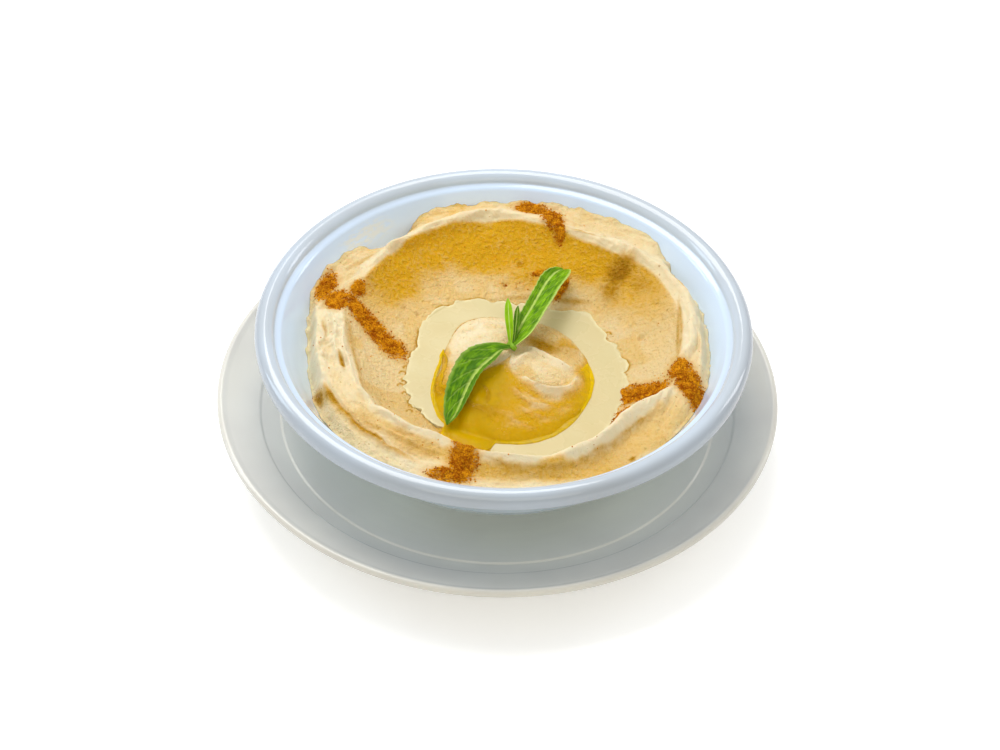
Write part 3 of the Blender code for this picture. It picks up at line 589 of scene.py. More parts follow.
def shader_group(name, inputs, outputs):
    """A shader node group with named sockets, given as name to (type, default)."""
    tree = bpy.data.node_groups.new(name, "ShaderNodeTree")
    for key, (kind, default) in inputs.items():
        socket = tree.interface.new_socket(name=key, in_out="INPUT", socket_type=kind)
        if default is not None:
            socket.default_value = default
    for key, kind in outputs.items():
        tree.interface.new_socket(name=key, in_out="OUTPUT", socket_type=kind)
    start, end = tree.nodes.new("NodeGroupInput"), tree.nodes.new("NodeGroupOutput")
    return tree, start, end


def principled(name, **values):
    """A material, its node tree and its Principled shader, with constants set on the shader."""
    made = bpy.data.materials.new(name)
    made.use_nodes = True
    tree = made.node_tree
    shader = tree.nodes["Principled BSDF"]
    for key, value in values.items():
        shader.inputs[key.replace("_", " ")].default_value = value
    return made, tree, shader


def call_group(tree, group, inputs):
    made = tree.nodes.new("ShaderNodeGroup")
    made.node_tree = group
    for key, value in inputs.items():
        if isinstance(value, bpy.types.NodeSocket):
            tree.links.new(value, made.inputs[key])
        else:
            made.inputs[key].default_value = value
    return made


def object_place(tree):
    return add(tree, "ShaderNodeTexCoord").outputs["Object"]


FLOAT, COLOUR, VECTOR = "NodeSocketFloat", "NodeSocketColor", "NodeSocketVector"


def glaze_group():
    """Glaze: two tints that drift into each other, the inner one lighter as painted light, a lighter wall below the rim
    as painted light, a darker outer rim face as painted shade, a grease smear, and a height for its slow waves and
    pinholes.
    """
    inputs = {"Place": (VECTOR, None), "Glaze": (COLOUR, None), "Painted inner light": (COLOUR, None), "Wall": (COLOUR, None),
              "Reach": (FLOAT, 0.0), "Change": (FLOAT, 0.004)}
    tree, start, end = shader_group("Glaze", inputs, {"Color": COLOUR, "Height": FLOAT, "Roughness": FLOAT})
    place = start.outputs["Place"]
    centred = add(tree, "ShaderNodeVectorMath", {0: place, 1: (AXIS_X, 0.0, 0.0)}, operation="SUBTRACT")
    flat = add(tree, "ShaderNodeVectorMath", {0: centred.outputs[0], 1: (1.0, 1.0, 0.0)}, operation="MULTIPLY")
    radius = add(tree, "ShaderNodeVectorMath", {0: flat.outputs[0]}, operation="LENGTH").outputs["Value"]
    # Painted light: inside the reach the colour turns to the lighter inner tint.
    depth = maths(tree, "SUBTRACT", maths(tree, "ADD", start.outputs["Reach"], 0.001), radius)
    inside = clamped(tree, maths(tree, "DIVIDE", depth, start.outputs["Change"]))
    drift = span(tree, grainy(tree, place, 34, 2.0), 0.35, 0.7, 0.0, 0.2)
    tint = maths(tree, "MINIMUM", maths(tree, "ADD", inside, drift), 1.0)
    level = add(tree, "ShaderNodeSeparateXYZ", {0: place}).outputs["Z"]
    # Painted light: below the rim band the bowl takes the lighter wall colour.
    low = span(tree, level, 0.0425, 0.0385)
    outside = blend(tree, low, start.outputs["Glaze"], start.outputs["Wall"])
    colour = blend(tree, tint, outside, start.outputs["Painted inner light"])
    film = smear(tree, centred.outputs[0])
    colour = blend(tree, film, colour, (0.82, 0.81, 0.72))
    # Painted shade: the bowl's outer rim face is darkened towards grey-blue.
    face = maths(tree, "MULTIPLY", span(tree, radius, 0.0770, 0.0795), span(tree, level, 0.030, 0.036))
    colour = blend(tree, maths(tree, "MULTIPLY", face, 0.28), colour, (0.20, 0.215, 0.26))
    pin = span(tree, grainy(tree, place, 0.9, 1.0), 0.70, 0.78)
    waves = grainy(tree, place, 11, 2.0)
    height = maths(tree, "SUBTRACT", waves, maths(tree, "MULTIPLY", pin, 0.12))
    rough = span(tree, grainy(tree, place, 22, 3.0), 0.35, 0.7, 0.06, 0.13)
    height = maths(tree, "ADD", height, maths(tree, "MULTIPLY", film, 2.0))
    for key, value in {"Color": colour, "Height": height, "Roughness": rough}.items():
        tree.links.new(value, end.inputs[key])
    return tree


def smear(tree, place):
    """Grease left on the bowl's wall beside the notch in the hummus: 1 in its thickest streaks."""
    away = add(tree, "ShaderNodeVectorMath", {0: place, 1: (-0.0460, 0.0495, 0.0435)}, operation="SUBTRACT")
    sized = add(tree, "ShaderNodeVectorMath", {0: away.outputs[0], 1: (66.0, 66.0, 230.0)}, operation="MULTIPLY")
    far = add(tree, "ShaderNodeVectorMath", {0: sized.outputs[0]}, operation="LENGTH").outputs["Value"]
    streaks = span(tree, grainy(tree, place, 2.6, 4.0, (0.6, 0.6, 2.0)), 0.42, 0.62)
    return maths(tree, "MULTIPLY", span(tree, far, 1.0, 0.35), maths(tree, "MULTIPLY", streaks, 0.6))


# Inner tint is the painted inner light; the wall tint is the colour below the rim, lightened on the bowl as painted
# light.
def glaze_material(name, group, glaze, pool, reach, waviness, wall, change):
    made, tree, shader = principled(name, Metallic=0.0, Coat_Weight=0.35, Coat_Roughness=0.05, IOR=1.5)
    inputs = {"Place": object_place(tree), "Glaze": (*glaze, 1.0), "Painted inner light": (*pool, 1.0),
              "Wall": (*wall, 1.0), "Reach": reach, "Change": change}
    look = call_group(tree, group, inputs)
    bump = add(tree, "ShaderNodeBump", {"Height": look.outputs["Height"], "Strength": waviness, "Distance": 0.002})
    tree.links.new(look.outputs["Color"], shader.inputs["Base Color"])
    tree.links.new(look.outputs["Roughness"], shader.inputs["Roughness"])
    tree.links.new(bump.outputs[0], shader.inputs["Normal"])
    return made


def turned_tree():
    """Geometry Nodes that turn a profile, drawn from the axis out and back, into a closed solid."""
    tree = bpy.data.node_groups.new("Turned ware", "GeometryNodeTree")
    face = tree.interface
    face.new_socket(name="Profile", in_out="INPUT", socket_type="NodeSocketGeometry")
    turns = face.new_socket(name="Turns", in_out="INPUT", socket_type="NodeSocketInt")
    turns.default_value, turns.min_value = 128, 12
    centre = face.new_socket(name="Axis", in_out="INPUT", socket_type="NodeSocketVector")
    surface = face.new_socket(name="Material", in_out="INPUT", socket_type="NodeSocketMaterial")
    face.new_socket(name="Ware", in_out="OUTPUT", socket_type="NodeSocketGeometry")
    start, end = tree.nodes.new("NodeGroupInput"), tree.nodes.new("NodeGroupOutput")
    outline = add(tree, "GeometryNodeMeshToCurve", {"Mesh": start.outputs["Profile"]})
    circle = add(tree, "GeometryNodeCurvePrimitiveCircle", {"Resolution": start.outputs["Turns"], "Radius": 1.0})
    swept = add(
        tree, "GeometryNodeCurveToMesh", {"Curve": circle.outputs[0], "Profile Curve": outline.outputs[0]}
    )
    joined = add(tree, "GeometryNodeMergeByDistance", {"Geometry": swept.outputs[0], "Distance": 0.00001})
    moved = add(
        tree, "GeometryNodeTransform", {"Geometry": joined.outputs[0], "Translation": start.outputs["Axis"]}
    )
    shaded = add(tree, "GeometryNodeSetShadeSmooth", {"Geometry": moved.outputs[0], "Shade Smooth": True})
    real = add(tree, "GeometryNodeRealizeInstances", {"Geometry": shaded.outputs[0]})
    finish = add(
        tree, "GeometryNodeSetMaterial", {"Geometry": real.outputs[0], "Material": start.outputs["Material"]}
    )
    tree.links.new(finish.outputs[0], end.inputs["Ware"])
    return tree, {"turns": turns.identifier, "axis": centre.identifier, "material": surface.identifier}


def applied(holder, name):
    """The evaluated result of an object's modifiers, as a mesh object of its own."""
    bpy.context.view_layer.update()
    graph = bpy.context.evaluated_depsgraph_get()
    mesh = bpy.data.meshes.new_from_object(holder.evaluated_get(graph))
    mesh.name = name
    made = bpy.data.objects.new(name, mesh)
    bpy.context.scene.collection.objects.link(made)
    bpy.data.objects.remove(holder)
    return made


def rounded(profile, corners):
    """A (radius, height) profile as a smooth line: each corner is replaced by a short curve."""
    points = [Vector((r, z)) for r, z in profile]
    line = [points[0]]
    for before, corner, after in zip(points, points[1:], points[2:]):
        into, out = before - corner, after - corner
        reach = min(corners, into.length * 0.45, out.length * 0.45)
        first, last = corner + into.normalized() * reach, corner + out.normalized() * reach
        line += [first.lerp(corner, t).lerp(corner.lerp(last, t), t) for t in (0.0, 0.25, 0.5, 0.75, 1.0)]
    return line + [points[-1]]


def turned(name, tree, sockets, profile, turns, centre_x, surface):
    """A turned piece from a profile in millimetres, swept round a circle of 1 m about the axis."""
    mesh = bpy.data.meshes.new(name + "_profile")
    points = [(point.x * MM - 1.0, -point.y * MM, 0.0) for point in profile]
    mesh.from_pydata(points, [(k, k + 1) for k in range(len(points) - 1)], [])
    holder = bpy.data.objects.new(name + "_profile", mesh)
    bpy.context.scene.collection.objects.link(holder)
    modifier = holder.modifiers.new("Turned ware", "NODES")
    modifier.node_group = tree
    modifier[sockets["turns"]] = turns
    modifier[sockets["axis"]] = (centre_x, 0.0, 0.0)
    modifier[sockets["material"]] = surface
    made = applied(holder, name)
    outward(made.data)
    return made


def outward(mesh):
    """Turns every face to look outwards."""
    bm = bmesh.new()
    bm.from_mesh(mesh)
    bmesh.ops.recalc_face_normals(bm, faces=bm.faces)
    bm.to_mesh(mesh)
    bm.free()


def saucer_top(radius):
    """Height of the saucer's upper face, with its shallow moulded channel."""
    s = SAUCER
    share = max(0.0, (radius - s["well_radius"]) / (s["radius"] - s["lip"] - s["well_radius"]))
    channel = s["channel_depth"] if s["channel_low"] < radius < s["channel_high"] else 0.0
    return s["well_top"] + (s["height"] - 0.7 - s["well_top"]) * share ** s["curve"] - channel


def saucer_profile():
    s = SAUCER
    low, high = s["channel_low"], s["channel_high"]
    top = [42.0, 46.0, 50.0, 55.0, 60.0, 65.0, low - 0.3, low + 0.3, high - 0.3, high + 0.3, 81.0, 85.0, 88.2]
    under = [89.0, 84.0, 78.0, 72.0, 66.0, 60.0, 54.0]
    profile = [(0.0, s["well_top"]), (36.0, s["well_top"])] + [(r, saucer_top(r)) for r in top]
    lip = s["lip"] / 2
    turns = np.radians(np.linspace(130, -50, 9))
    middle = (s["radius"] - lip, s["height"] - lip)
    profile += [(middle[0] + lip * math.cos(a), middle[1] + lip * math.sin(a)) for a in turns]
    profile += [(r, saucer_top(r) - s["wall"] + (0.8 if r > 88 else 0.0)) for r in under]
    profile += [(s["foot_out"], s["recess"]), (s["foot_out"] - 0.4, 0.0), (s["foot_in"] + 0.4, 0.0)]
    return rounded(profile + [(s["foot_in"], s["recess"]), (0.0, s["recess"])], 0.8)


def bowl_profile():
    b = BOWL
    half = (b["radius"] - b["mouth"]) / 2
    neck = b["top"] - b["band"]
    profile = [(0.0, b["floor"]), (20.0, b["floor"])]
    profile += [(bowl_inner(z), z) for z in (13.15, 14.0, 15.5, 18.0, 22.0, 27.0, 33.0, 39.0, 44.0, 47.5)]
    middle = b["radius"] - half
    turns = np.radians(np.linspace(172, 0, 12))
    profile += [(middle + half * math.cos(a), b["top"] - half + half * math.sin(a)) for a in turns]
    turns = np.radians(np.linspace(-12, -80, 6))
    profile += [(middle + half * math.cos(a), neck + half * 0.6 + half * 0.6 * math.sin(a)) for a in turns]
    profile += [(b["neck"], neck - 0.4)] + [(bowl_outer(z), z) for z in (41.0, 35.0, 29.0, 23.0, 17.0, 13.0)]
    foot_in = b["foot"] - b["foot_width"]
    profile += [(b["foot"], b["foot_top"]), (b["foot"] - 0.5, b["base"]), (foot_in + 0.5, b["base"])]
    recess = b["base"] + b["recess"]
    return rounded(profile + [(foot_in, recess), (0.0, recess)], 0.8)


class HUMMUS_OT_tableware(bpy.types.Operator):
    """Turns the glazed saucer and the thick-rimmed bowl"""

    bl_idname = "hummus.tableware"
    bl_label = "Make saucer and bowl"

    def execute(self, context):
        p = context.scene.hummus_tableware
        group = glaze_group()
        well = (BOWL["mouth"] + 1.0) * MM
        # Painted light: lighter, bluer inside, and a lighter wall below the rim.
        cool = glaze_material("Bowl glaze", group, p.glaze, p.shade, well, p.waviness, p.wall, 0.0045)
        # Painted light and shade: lighter in the well, darker towards the edge.
        warm = glaze_material("Saucer glaze", group, p.saucer_edge_shade, p.saucer_well_light, 0.077, p.waviness, p.saucer_edge_shade, 0.030)
        tree, sockets = turned_tree()
        low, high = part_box("saucer")
        saucer = turned(
            "glazed_saucer", tree, sockets, saucer_profile(), p.turns, (low[0] + high[0]) / 2, warm
        )
        settle(saucer, "saucer")
        bowl = turned("glazed_bowl", tree, sockets, bowl_profile(), p.turns, AXIS_X, cool)
        settle(bowl, "bowl")
        return {"FINISHED"}


def paste_group():
    """Paste colour from masks for pale crests with painted highlight, soaked oil with painted shade, deep hollows with
    painted shade in creases, and spice, with its grain.
    """
    inputs = {"Place": (VECTOR, None)}
    inputs |= {name: (COLOUR, None) for name in ("Paste", "Pale", "Gold", "Deep", "Stain")}
    inputs |= {name: (FLOAT, 0.0) for name in ("Crest", "Soak", "Hollow", "Spice")}
    outputs = {"Color": COLOUR, "Height": FLOAT, "Roughness": FLOAT}
    tree, start, end = shader_group("Paste", inputs, outputs)
    place = start.outputs["Place"]
    slow, fine = grainy(tree, place, 6, 4.0), grainy(tree, place, 1.25, 4.0)
    mottle = maths(tree, "ADD", maths(tree, "MULTIPLY", slow, 0.25), maths(tree, "MULTIPLY", fine, 0.75))
    plain = maths(tree, "SUBTRACT", 1.0, maths(tree, "MULTIPLY", start.outputs["Crest"], 0.8))

    def broken(mask, amount):
        """A mask whose edge is broken up by the mottle."""
        shift = maths(tree, "MULTIPLY", maths(tree, "SUBTRACT", 0.5, mottle), amount)
        part = maths(tree, "MULTIPLY", shift, maths(tree, "MULTIPLY", mask, 2.0))
        return clamped(tree, maths(tree, "ADD", mask, part))

    light = blend(tree, span(tree, slow, 0.40, 0.66, 0.0, 0.25), start.outputs["Paste"], start.outputs["Pale"])
    # Painted highlight: crests, strokes and swirls turn pale, partly as paler paste.
    pale = blend(tree, broken(start.outputs["Crest"], 0.9), light, start.outputs["Pale"])
    low = maths(tree, "MULTIPLY", span(tree, fine, 0.48, 0.32), plain)
    pale = blend(tree, maths(tree, "MULTIPLY", low, 0.17), pale, start.outputs["Gold"])
    # Oil-steeped paste, and painted shade where the mask holds it.
    gold_and_shade = blend(tree, broken(start.outputs["Soak"], 0.6), pale, start.outputs["Gold"])
    sunk = clamped(tree, maths(tree, "ADD", broken(start.outputs["Hollow"], 1.0),
                               maths(tree, "MULTIPLY", maths(tree, "MULTIPLY", low, start.outputs["Soak"]), 0.13)))
    deep = blend(tree, sunk, gold_and_shade, start.outputs["Deep"])
    colour = blend(tree, broken(start.outputs["Spice"], 2.0), deep, start.outputs["Stain"])
    flecks = span(tree, grainy(tree, place, 1.4, 2.0), 0.68, 0.74, 0.0, 0.55)
    colour = blend(tree, flecks, colour, start.outputs["Deep"])
    height = maths(tree, "ADD", fine, maths(tree, "MULTIPLY", grainy(tree, place, 0.6, 3.0), 0.4))
    height = maths(tree, "MULTIPLY", height, plain)
    rough = span(tree, start.outputs["Soak"], 0.0, 1.0, 0.5, 0.3)
    for key, value in {"Color": colour, "Height": height, "Roughness": rough}.items():
        tree.links.new(value, end.inputs[key])
    return tree


def clamped(tree, value):
    """A value kept between 0 and 1."""
    return add(tree, "ShaderNodeClamp", {"Value": value}).outputs[0]


def paste_material(p):
    made, tree, shader = principled("Hummus paste", Metallic=0.0, Specular_IOR_Level=0.11, IOR=1.45,
                                    Subsurface_Weight=0.15, Subsurface_Scale=0.002)
    inputs = {"Place": object_place(tree)}
    inputs |= {key: (*value, 1.0) for key, value in (
        ("Paste", p.paste), ("Pale", p.pale), ("Gold", p.gold_and_shade), ("Deep", p.deep), ("Stain", p.stain))}
    inputs |= {key.capitalize(): attribute(tree, key) for key in ("crest", "soak", "hollow", "spice")}
    look = call_group(tree, paste_group(), inputs)
    bump = add(tree, "ShaderNodeBump", {"Height": look.outputs["Height"], "Strength": 1.0, "Distance": 0.0013})
    tree.links.new(look.outputs["Color"], shader.inputs["Base Color"])
    tree.links.new(look.outputs["Roughness"], shader.inputs["Roughness"])
    tree.links.new(bump.outputs[0], shader.inputs["Normal"])
    return made


def spread_masks(x, y, wobble):
    """Masks of the spread's colours at places from the bowl's axis."""
    distance, angle = well_polar(x, y)
    share = slope_share(x, y)
    outside, _ = wall_share(x, y)
    # Pale crests follow the ridges' height: paler paste and painted highlight on their tops.
    ridges = sum(np.clip(fold_height(x, y, fold), 0, None) for fold in MAIN_FOLDS + FINE_FOLDS)
    drift = noise(x / 9, y / 9, 41)
    quick = noise(x / 2.6, y / 2.6, 44)
    band = smoothstep(0.92, 1.02, share) * (0.5 + 0.3 * drift)
    crest = np.clip(ridges / 2.4 + band, 0, 1) * smoothstep(0.7, 0.97, share)
    # Under the back crest: oil and painted shade on the slope below it.
    back = around(((0, 0.0), (18, 0.2), (36, 0.75), (50, 0.95), (125, 1.0), (142, 0.9), (156, 0.35),
                   (172, 0.04), (200, 0.0), (340, 0.0)), angle)
    fall = smoothstep(0.08, 0.68, share + 0.10 * drift + 0.05 * quick) * smoothstep(1.02, 0.97, share)
    soak = np.maximum(back * fall, 0.08 * back * smoothstep(0.94, 1.0, share))
    # Painted shade: the outer flank at the front, facing away from the light, turns golden.
    front = around(((0, 0.0), (20, 0.0), (195, 0.1), (222, 0.55), (255, 0.85), (285, 0.9), (308, 0.65),
                    (334, 0.5), (350, 0.1)), angle)
    beyond = distance - around(CREST_DISTANCES, angle)
    right = smoothstep(283, 303, angle) * smoothstep(346, 334, angle)
    flank = smoothstep(0.8, 3.2, beyond - 1.4 * right + 0.8 * quick)
    flank = flank * smoothstep(10.5, 6.0, beyond - 7.0 * right + 1.5 * drift)
    soak = np.maximum(soak, front * flank * 0.85)
    rim = around(((0, 0.05), (60, 0.18), (90, 0.45), (115, 0.55), (140, 0.3), (160, 0.1), (200, 0.0),
                  (330, 0.05)), angle)
    soak = np.maximum(soak, rim * smoothstep(2.0, 5.5, beyond) * (0.6 + 0.5 * drift + 0.3 * quick))
    foot = around(MOUND_DISTANCES, angle)
    inner = around(OIL_INNER, angle)
    oiled = smoothstep(inner - 0.16, inner + 0.10, distance / foot + 0.07 * noise(x / 3, y / 3, 42))
    oiled = oiled * smoothstep(1.3, 1.05, distance / foot)
    spill = smoothstep(SPILL[0] - 4, SPILL[0] + 1, angle) * smoothstep(SPILL[1] + 2, SPILL[1] - 2, angle)
    oiled = np.maximum(oiled, spill * smoothstep(1.06, 1.0, share * 0.3 + 0.8))
    soak = np.maximum(soak, 0.95 * np.clip(oiled, 0, 1))
    soak = np.maximum(soak, 0.34 * smoothstep(-0.1, 0.5, noise(x / 7, y / 7, 43)) * smoothstep(1.0, 0.9, share))
    soak = np.maximum(soak, 0.6 * spots(x, y, WARM_SPOTS) * (1 + 0.6 * quick))
    # Deep gold: oil in hollows and painted shade in dips and grooves.
    hollow = spots(x, y, GOLD_AND_SHADE_SPOTS) * 0.95
    # Pale mound: paler paste, and painted highlight on the swirls' ridges.
    swirls = sum(np.clip(fold_height(x, y, fold), 0, None) for fold in MOUND_FOLDS)
    mound = np.clip(0.9 * spots(x, y, PALE_SPOTS) * (1 + 0.5 * quick) + 0.5 * swirls, 0, 1)
    mound = mound * smoothstep(1.05, 0.97, distance / foot) * (1 - hollow)
    crest = np.maximum(crest, mound)
    strokes = spots(x, y, PALE_STROKES)
    crest = np.maximum(crest, strokes * (0.75 + 0.4 * quick))
    # Painted shade: a dark ring on the far side of each bubble.
    for (across, back), size in BUBBLES:
        ring = np.exp(-(((np.hypot(x - across, y - back) - size) / 0.35) ** 2))
        hollow = np.maximum(hollow, 0.6 * ring * (y > back - 0.4 * size))
    # Painted shade along creases and ridge sides.
    for path, inner, outer, strength in SHADE_LINES:
        stroke = fold_height(x, y, Fold(path, 1.0, inner, outer, 0.15, 0.15))
        hollow = np.maximum(hollow, strength * stroke * (0.85 + 0.3 * quick))
    outline = np.exp(-(((distance / foot - 0.975) / 0.014) ** 2)) * smoothstep(88, 110, angle)
    hollow = np.maximum(hollow, 0.7 * outline * smoothstep(168, 158, angle))
    # A darker line just outside the sauce's edge: partly oil, partly painted shadow of that edge.
    line = np.exp(-(((distance - pool_edge(angle, wobble) - 0.25) / 0.45) ** 2))
    patchy = smoothstep(-0.25, 0.35, noise(angle / 8.0, 0 * angle, 45))
    hollow = np.maximum(hollow, 0.55 * line * patchy)
    spice = spots(x, y, CUMIN_PATCHES)
    halo = spots(x, y, [(place, a + 1.3, b + 1.3, turn, strength) for place, a, b, turn, strength in CUMIN_PATCHES])
    soak = np.maximum(np.maximum(soak, 0.9 * halo), np.clip(1.6 * hollow, 0, 1))
    soak = np.clip(soak - 0.6 * mound, 0, 1) * (1 - 0.6 * np.clip(strokes, 0, 1))
    return {"crest": crest * (1 - 0.8 * soak), "soak": soak, "hollow": hollow, "spice": np.clip(1.3 * spice, 0, 1)}


def spread_reach(turns, streak, grain):
    """Radii at which the spread's top meets the bowl's wall, just inside it."""
    radius = np.full(len(turns), BOWL["mouth"] - 5.0)
    for _ in range(8):
        top = spread_top(radius * np.cos(turns), radius * np.sin(turns), streak, grain)
        radius = bowl_inner(top) - 0.1
    return radius


class HUMMUS_OT_spread(bpy.types.Operator):
    """Models the spoon-worked hummus with its folds, streaks and grain"""

    bl_idname = "hummus.spread"
    bl_label = "Make hummus"

    def execute(self, context):
        p = context.scene.hummus_spread
        wobble = context.scene.hummus_liquids.wobble / MM
        streak, grain = p.streak / MM, p.grain / MM
        surface = paste_material(p)
        self.outer(p, streak, grain, wobble, surface)
        self.mound(p, streak, grain, wobble, surface)
        return {"FINISHED"}

    def outer(self, p, streak, grain, wobble, surface):
        """The slope, the crest and the shelf out to the wall, as a closed body with a sunken middle."""
        turns = np.linspace(0.0, 2 * math.pi, p.turns, endpoint=False)
        reach = spread_reach(turns, streak, grain)
        seam = seam_radius(turns)
        shares = np.linspace(0.0, 1.0, p.rings)[:, None]
        x = (seam + (reach - seam) * shares) * np.cos(turns)
        y = (seam + (reach - seam) * shares) * np.sin(turns)
        z = spread_top(x, y, streak, grain)
        masks = spread_masks(x, y, wobble)
        wall = [(0.7, 0.2), (0.35, 0.2), (0.04, 0.3)]
        for share, inset in wall:
            height = BOWL["floor"] + share * (z[p.rings - 1] - BOWL["floor"])
            radius = bowl_inner(height) - inset
            x, y = np.vstack([x, radius * np.cos(turns)]), np.vstack([y, radius * np.sin(turns)])
            z = np.vstack([z, height + GAP])
        for share, low in ((0.99, 2.0), (0.004, 8.0)):
            x = np.vstack([seam * share * np.cos(turns), x])
            y = np.vstack([seam * share * np.sin(turns), y])
            z = np.vstack([np.full(p.turns, POOL_HEIGHT - low), z])
        padded = {key: np.vstack([value[:1], value[:1], value] + [value[-1:]] * len(wall))
                  for key, value in masks.items()}
        piece = grid("hummus_spread", x, y, z, surface, cap=(0, len(x) - 1), attributes=padded)
        outward(piece.data)
        settle(piece, "hummus")

    def mound(self, p, streak, grain, wobble, surface):
        """The mound and the bed of the sauce, a closed lens over the sunken middle."""
        turns = np.linspace(0.0, 2 * math.pi, p.mound_turns, endpoint=False)
        seam = seam_radius(turns) + 0.4
        shares = np.concatenate([[0.003], np.linspace(0.01, 1.0, p.mound_rings)])[:, None]
        x, y = seam * shares * np.cos(turns), seam * shares * np.sin(turns)
        z = spread_top(x, y, streak, grain)
        z[-1] -= 0.4
        masks = spread_masks(x, y, wobble)
        x, y = np.vstack([x, 0.5 * x[-1]]), np.vstack([y, 0.5 * y[-1]])
        z = np.vstack([z, np.full(p.mound_turns, POOL_HEIGHT - 5.0)])
        masks = {key: np.vstack([value, value[-1]]) for key, value in masks.items()}
        piece = grid("hummus_mound", x, y, z, surface, cap=(0, len(x) - 1), attributes=masks)
        outward(piece.data)
        settle(piece, "hummus")


def seam_radius(turns):
    """Radius from the bowl's axis, at each turn, of the middle of the sauce's ring."""
    radius = np.full(len(turns), 30.0)
    for _ in range(6):
        _, angle = well_polar(radius * np.cos(turns), radius * np.sin(turns))
        middle = 0.5 * (around(POOL_DISTANCES, angle) + around(MOUND_DISTANCES, angle))
        cx, cy = WELL_CENTRE
        towards = cx * np.cos(turns) + cy * np.sin(turns)
        radius = towards + np.sqrt(np.clip(middle**2 - (cx**2 + cy**2 - towards**2), 1.0, None))
    return radius


def sauce_material(p):
    made, tree, shader = principled("Tahini sauce", Metallic=0.0, Specular_IOR_Level=0.35, IOR=1.45)
    place = object_place(tree)
    thin = attribute(tree, "thin")
    slow, fine = grainy(tree, place, 9, 3.0), grainy(tree, place, 1.2, 3.0)
    body = blend(tree, span(tree, slow, 0.35, 0.7, 0.0, 0.35), tuple(p.sauce), (0.63, 0.50, 0.24))
    fleck = span(tree, fine, 0.68, 0.76, 0.0, 0.3)
    body = blend(tree, fleck, body, (0.62, 0.45, 0.20))
    # Painted highlight along the sauce's narrow edge.
    colour = blend(tree, maths(tree, "MULTIPLY", thin, span(tree, slow, 0.35, 0.6, 0.2, 0.9)), body, tuple(p.sauce_edge_highlight))
    rough = span(tree, slow, 0.3, 0.7, 0.2, 0.32)
    bump = add(tree, "ShaderNodeBump", {"Height": fine, "Strength": 0.12, "Distance": 0.0004})
    tree.links.new(colour, shader.inputs["Base Color"])
    tree.links.new(rough, shader.inputs["Roughness"])
    tree.links.new(bump.outputs[0], shader.inputs["Normal"])
    return made


class HUMMUS_OT_sauce(bpy.types.Operator):
    """Pours the tahini sauce into the ring round the mound, up to its ragged edge"""

    bl_idname = "hummus.sauce"
    bl_label = "Make tahini sauce"

    def execute(self, context):
        p = context.scene.hummus_liquids
        s = context.scene.hummus_spread
        wobble = p.wobble / MM
        run = np.linspace(SPILL[1] - 1.0, SPILL[0] + 361.0, 640)
        angle = run % 360.0
        outer, inner = pool_edge(angle, wobble), around(MOUND_DISTANCES, angle) * 0.95
        to_end = np.minimum(run - run[0], run[-1] - run)
        blunt = np.sqrt(np.clip(1 - (1 - np.clip(to_end / 7.0, 0, 1)) ** 2, 0, 1))
        middle = 0.5 * (outer + inner) + 1.5 * (1 - blunt)
        outer, inner = middle + (outer - middle) * blunt, middle + (inner - middle) * blunt
        shares = np.concatenate([np.linspace(0.0, 0.06, 4), np.linspace(0.1, 0.93, 44), np.linspace(0.94, 1.0, 12)])
        shares = shares[:, None]
        x, y = well_place(angle, inner + (outer - inner) * shares)
        ground = spread_top(x, y, s.streak / MM, s.grain / MM)
        gone = np.minimum((1.0 - shares) * (outer - inner), 0.8 * to_end)
        film = 0.30 * np.sqrt(np.clip(1 - (1 - np.clip(gone / 0.9, 0, 1)) ** 2, 0, 1))
        level = POOL_HEIGHT + 0.15 + 0.06 * noise(x / 6, y / 6, 53)
        z = np.maximum(level, np.where(shares > 0.5, ground + film, 0.0))
        z[-1], z[0] = ground[-1] - 0.15, ground[0] - 0.3
        z[:, 0], z[:, -1] = ground[:, 0] - 0.15, ground[:, -1] - 0.15
        thin = np.exp(-((gone / 0.7) ** 2)) + 0 * x
        piece = grid("tahini_pool", x, y, z, sauce_material(p), closed_round=False, attributes={"thin": thin})
        settle(piece, "tahini_sauce")
        return {"FINISHED"}


def oil_material(p):
    made, tree, shader = principled("Olive oil", Metallic=0.0, Roughness=0.06, IOR=1.47, Specular_IOR_Level=0.07)
    place = object_place(tree)
    depth, line, cover = (attribute(tree, key) for key in ("depth", "line", "cover"))
    drift, fine = grainy(tree, place, 4, 4.0), grainy(tree, place, 1.5, 3.0)
    thick = maths(tree, "MULTIPLY", depth, span(tree, drift, 0.35, 0.65, 0.35, 1.2))
    thick = maths(tree, "MULTIPLY", thick, span(tree, fine, 0.36, 0.62, 0.7, 1.2))
    colour = blend(tree, clamped(tree, thick), tuple(p.oil), tuple(p.oil_deep))
    colour = blend(tree, line, colour, (0.50, 0.36, 0.0))
    veil = maths(tree, "MULTIPLY", cover, span(tree, fine, 0.36, 0.60, 0.88, 1.06))
    body = maths(tree, "ADD", maths(tree, "MULTIPLY", veil, span(tree, drift, 0.35, 0.65, 0.75, 1.08)),
                 maths(tree, "MULTIPLY", line, 0.4))
    bump = add(tree, "ShaderNodeBump", {"Height": fine, "Strength": 0.2, "Distance": 0.001})
    tree.links.new(colour, shader.inputs["Base Color"])
    tree.links.new(clamped(tree, body), shader.inputs["Alpha"])
    tree.links.new(bump.outputs[0], shader.inputs["Normal"])
    return made


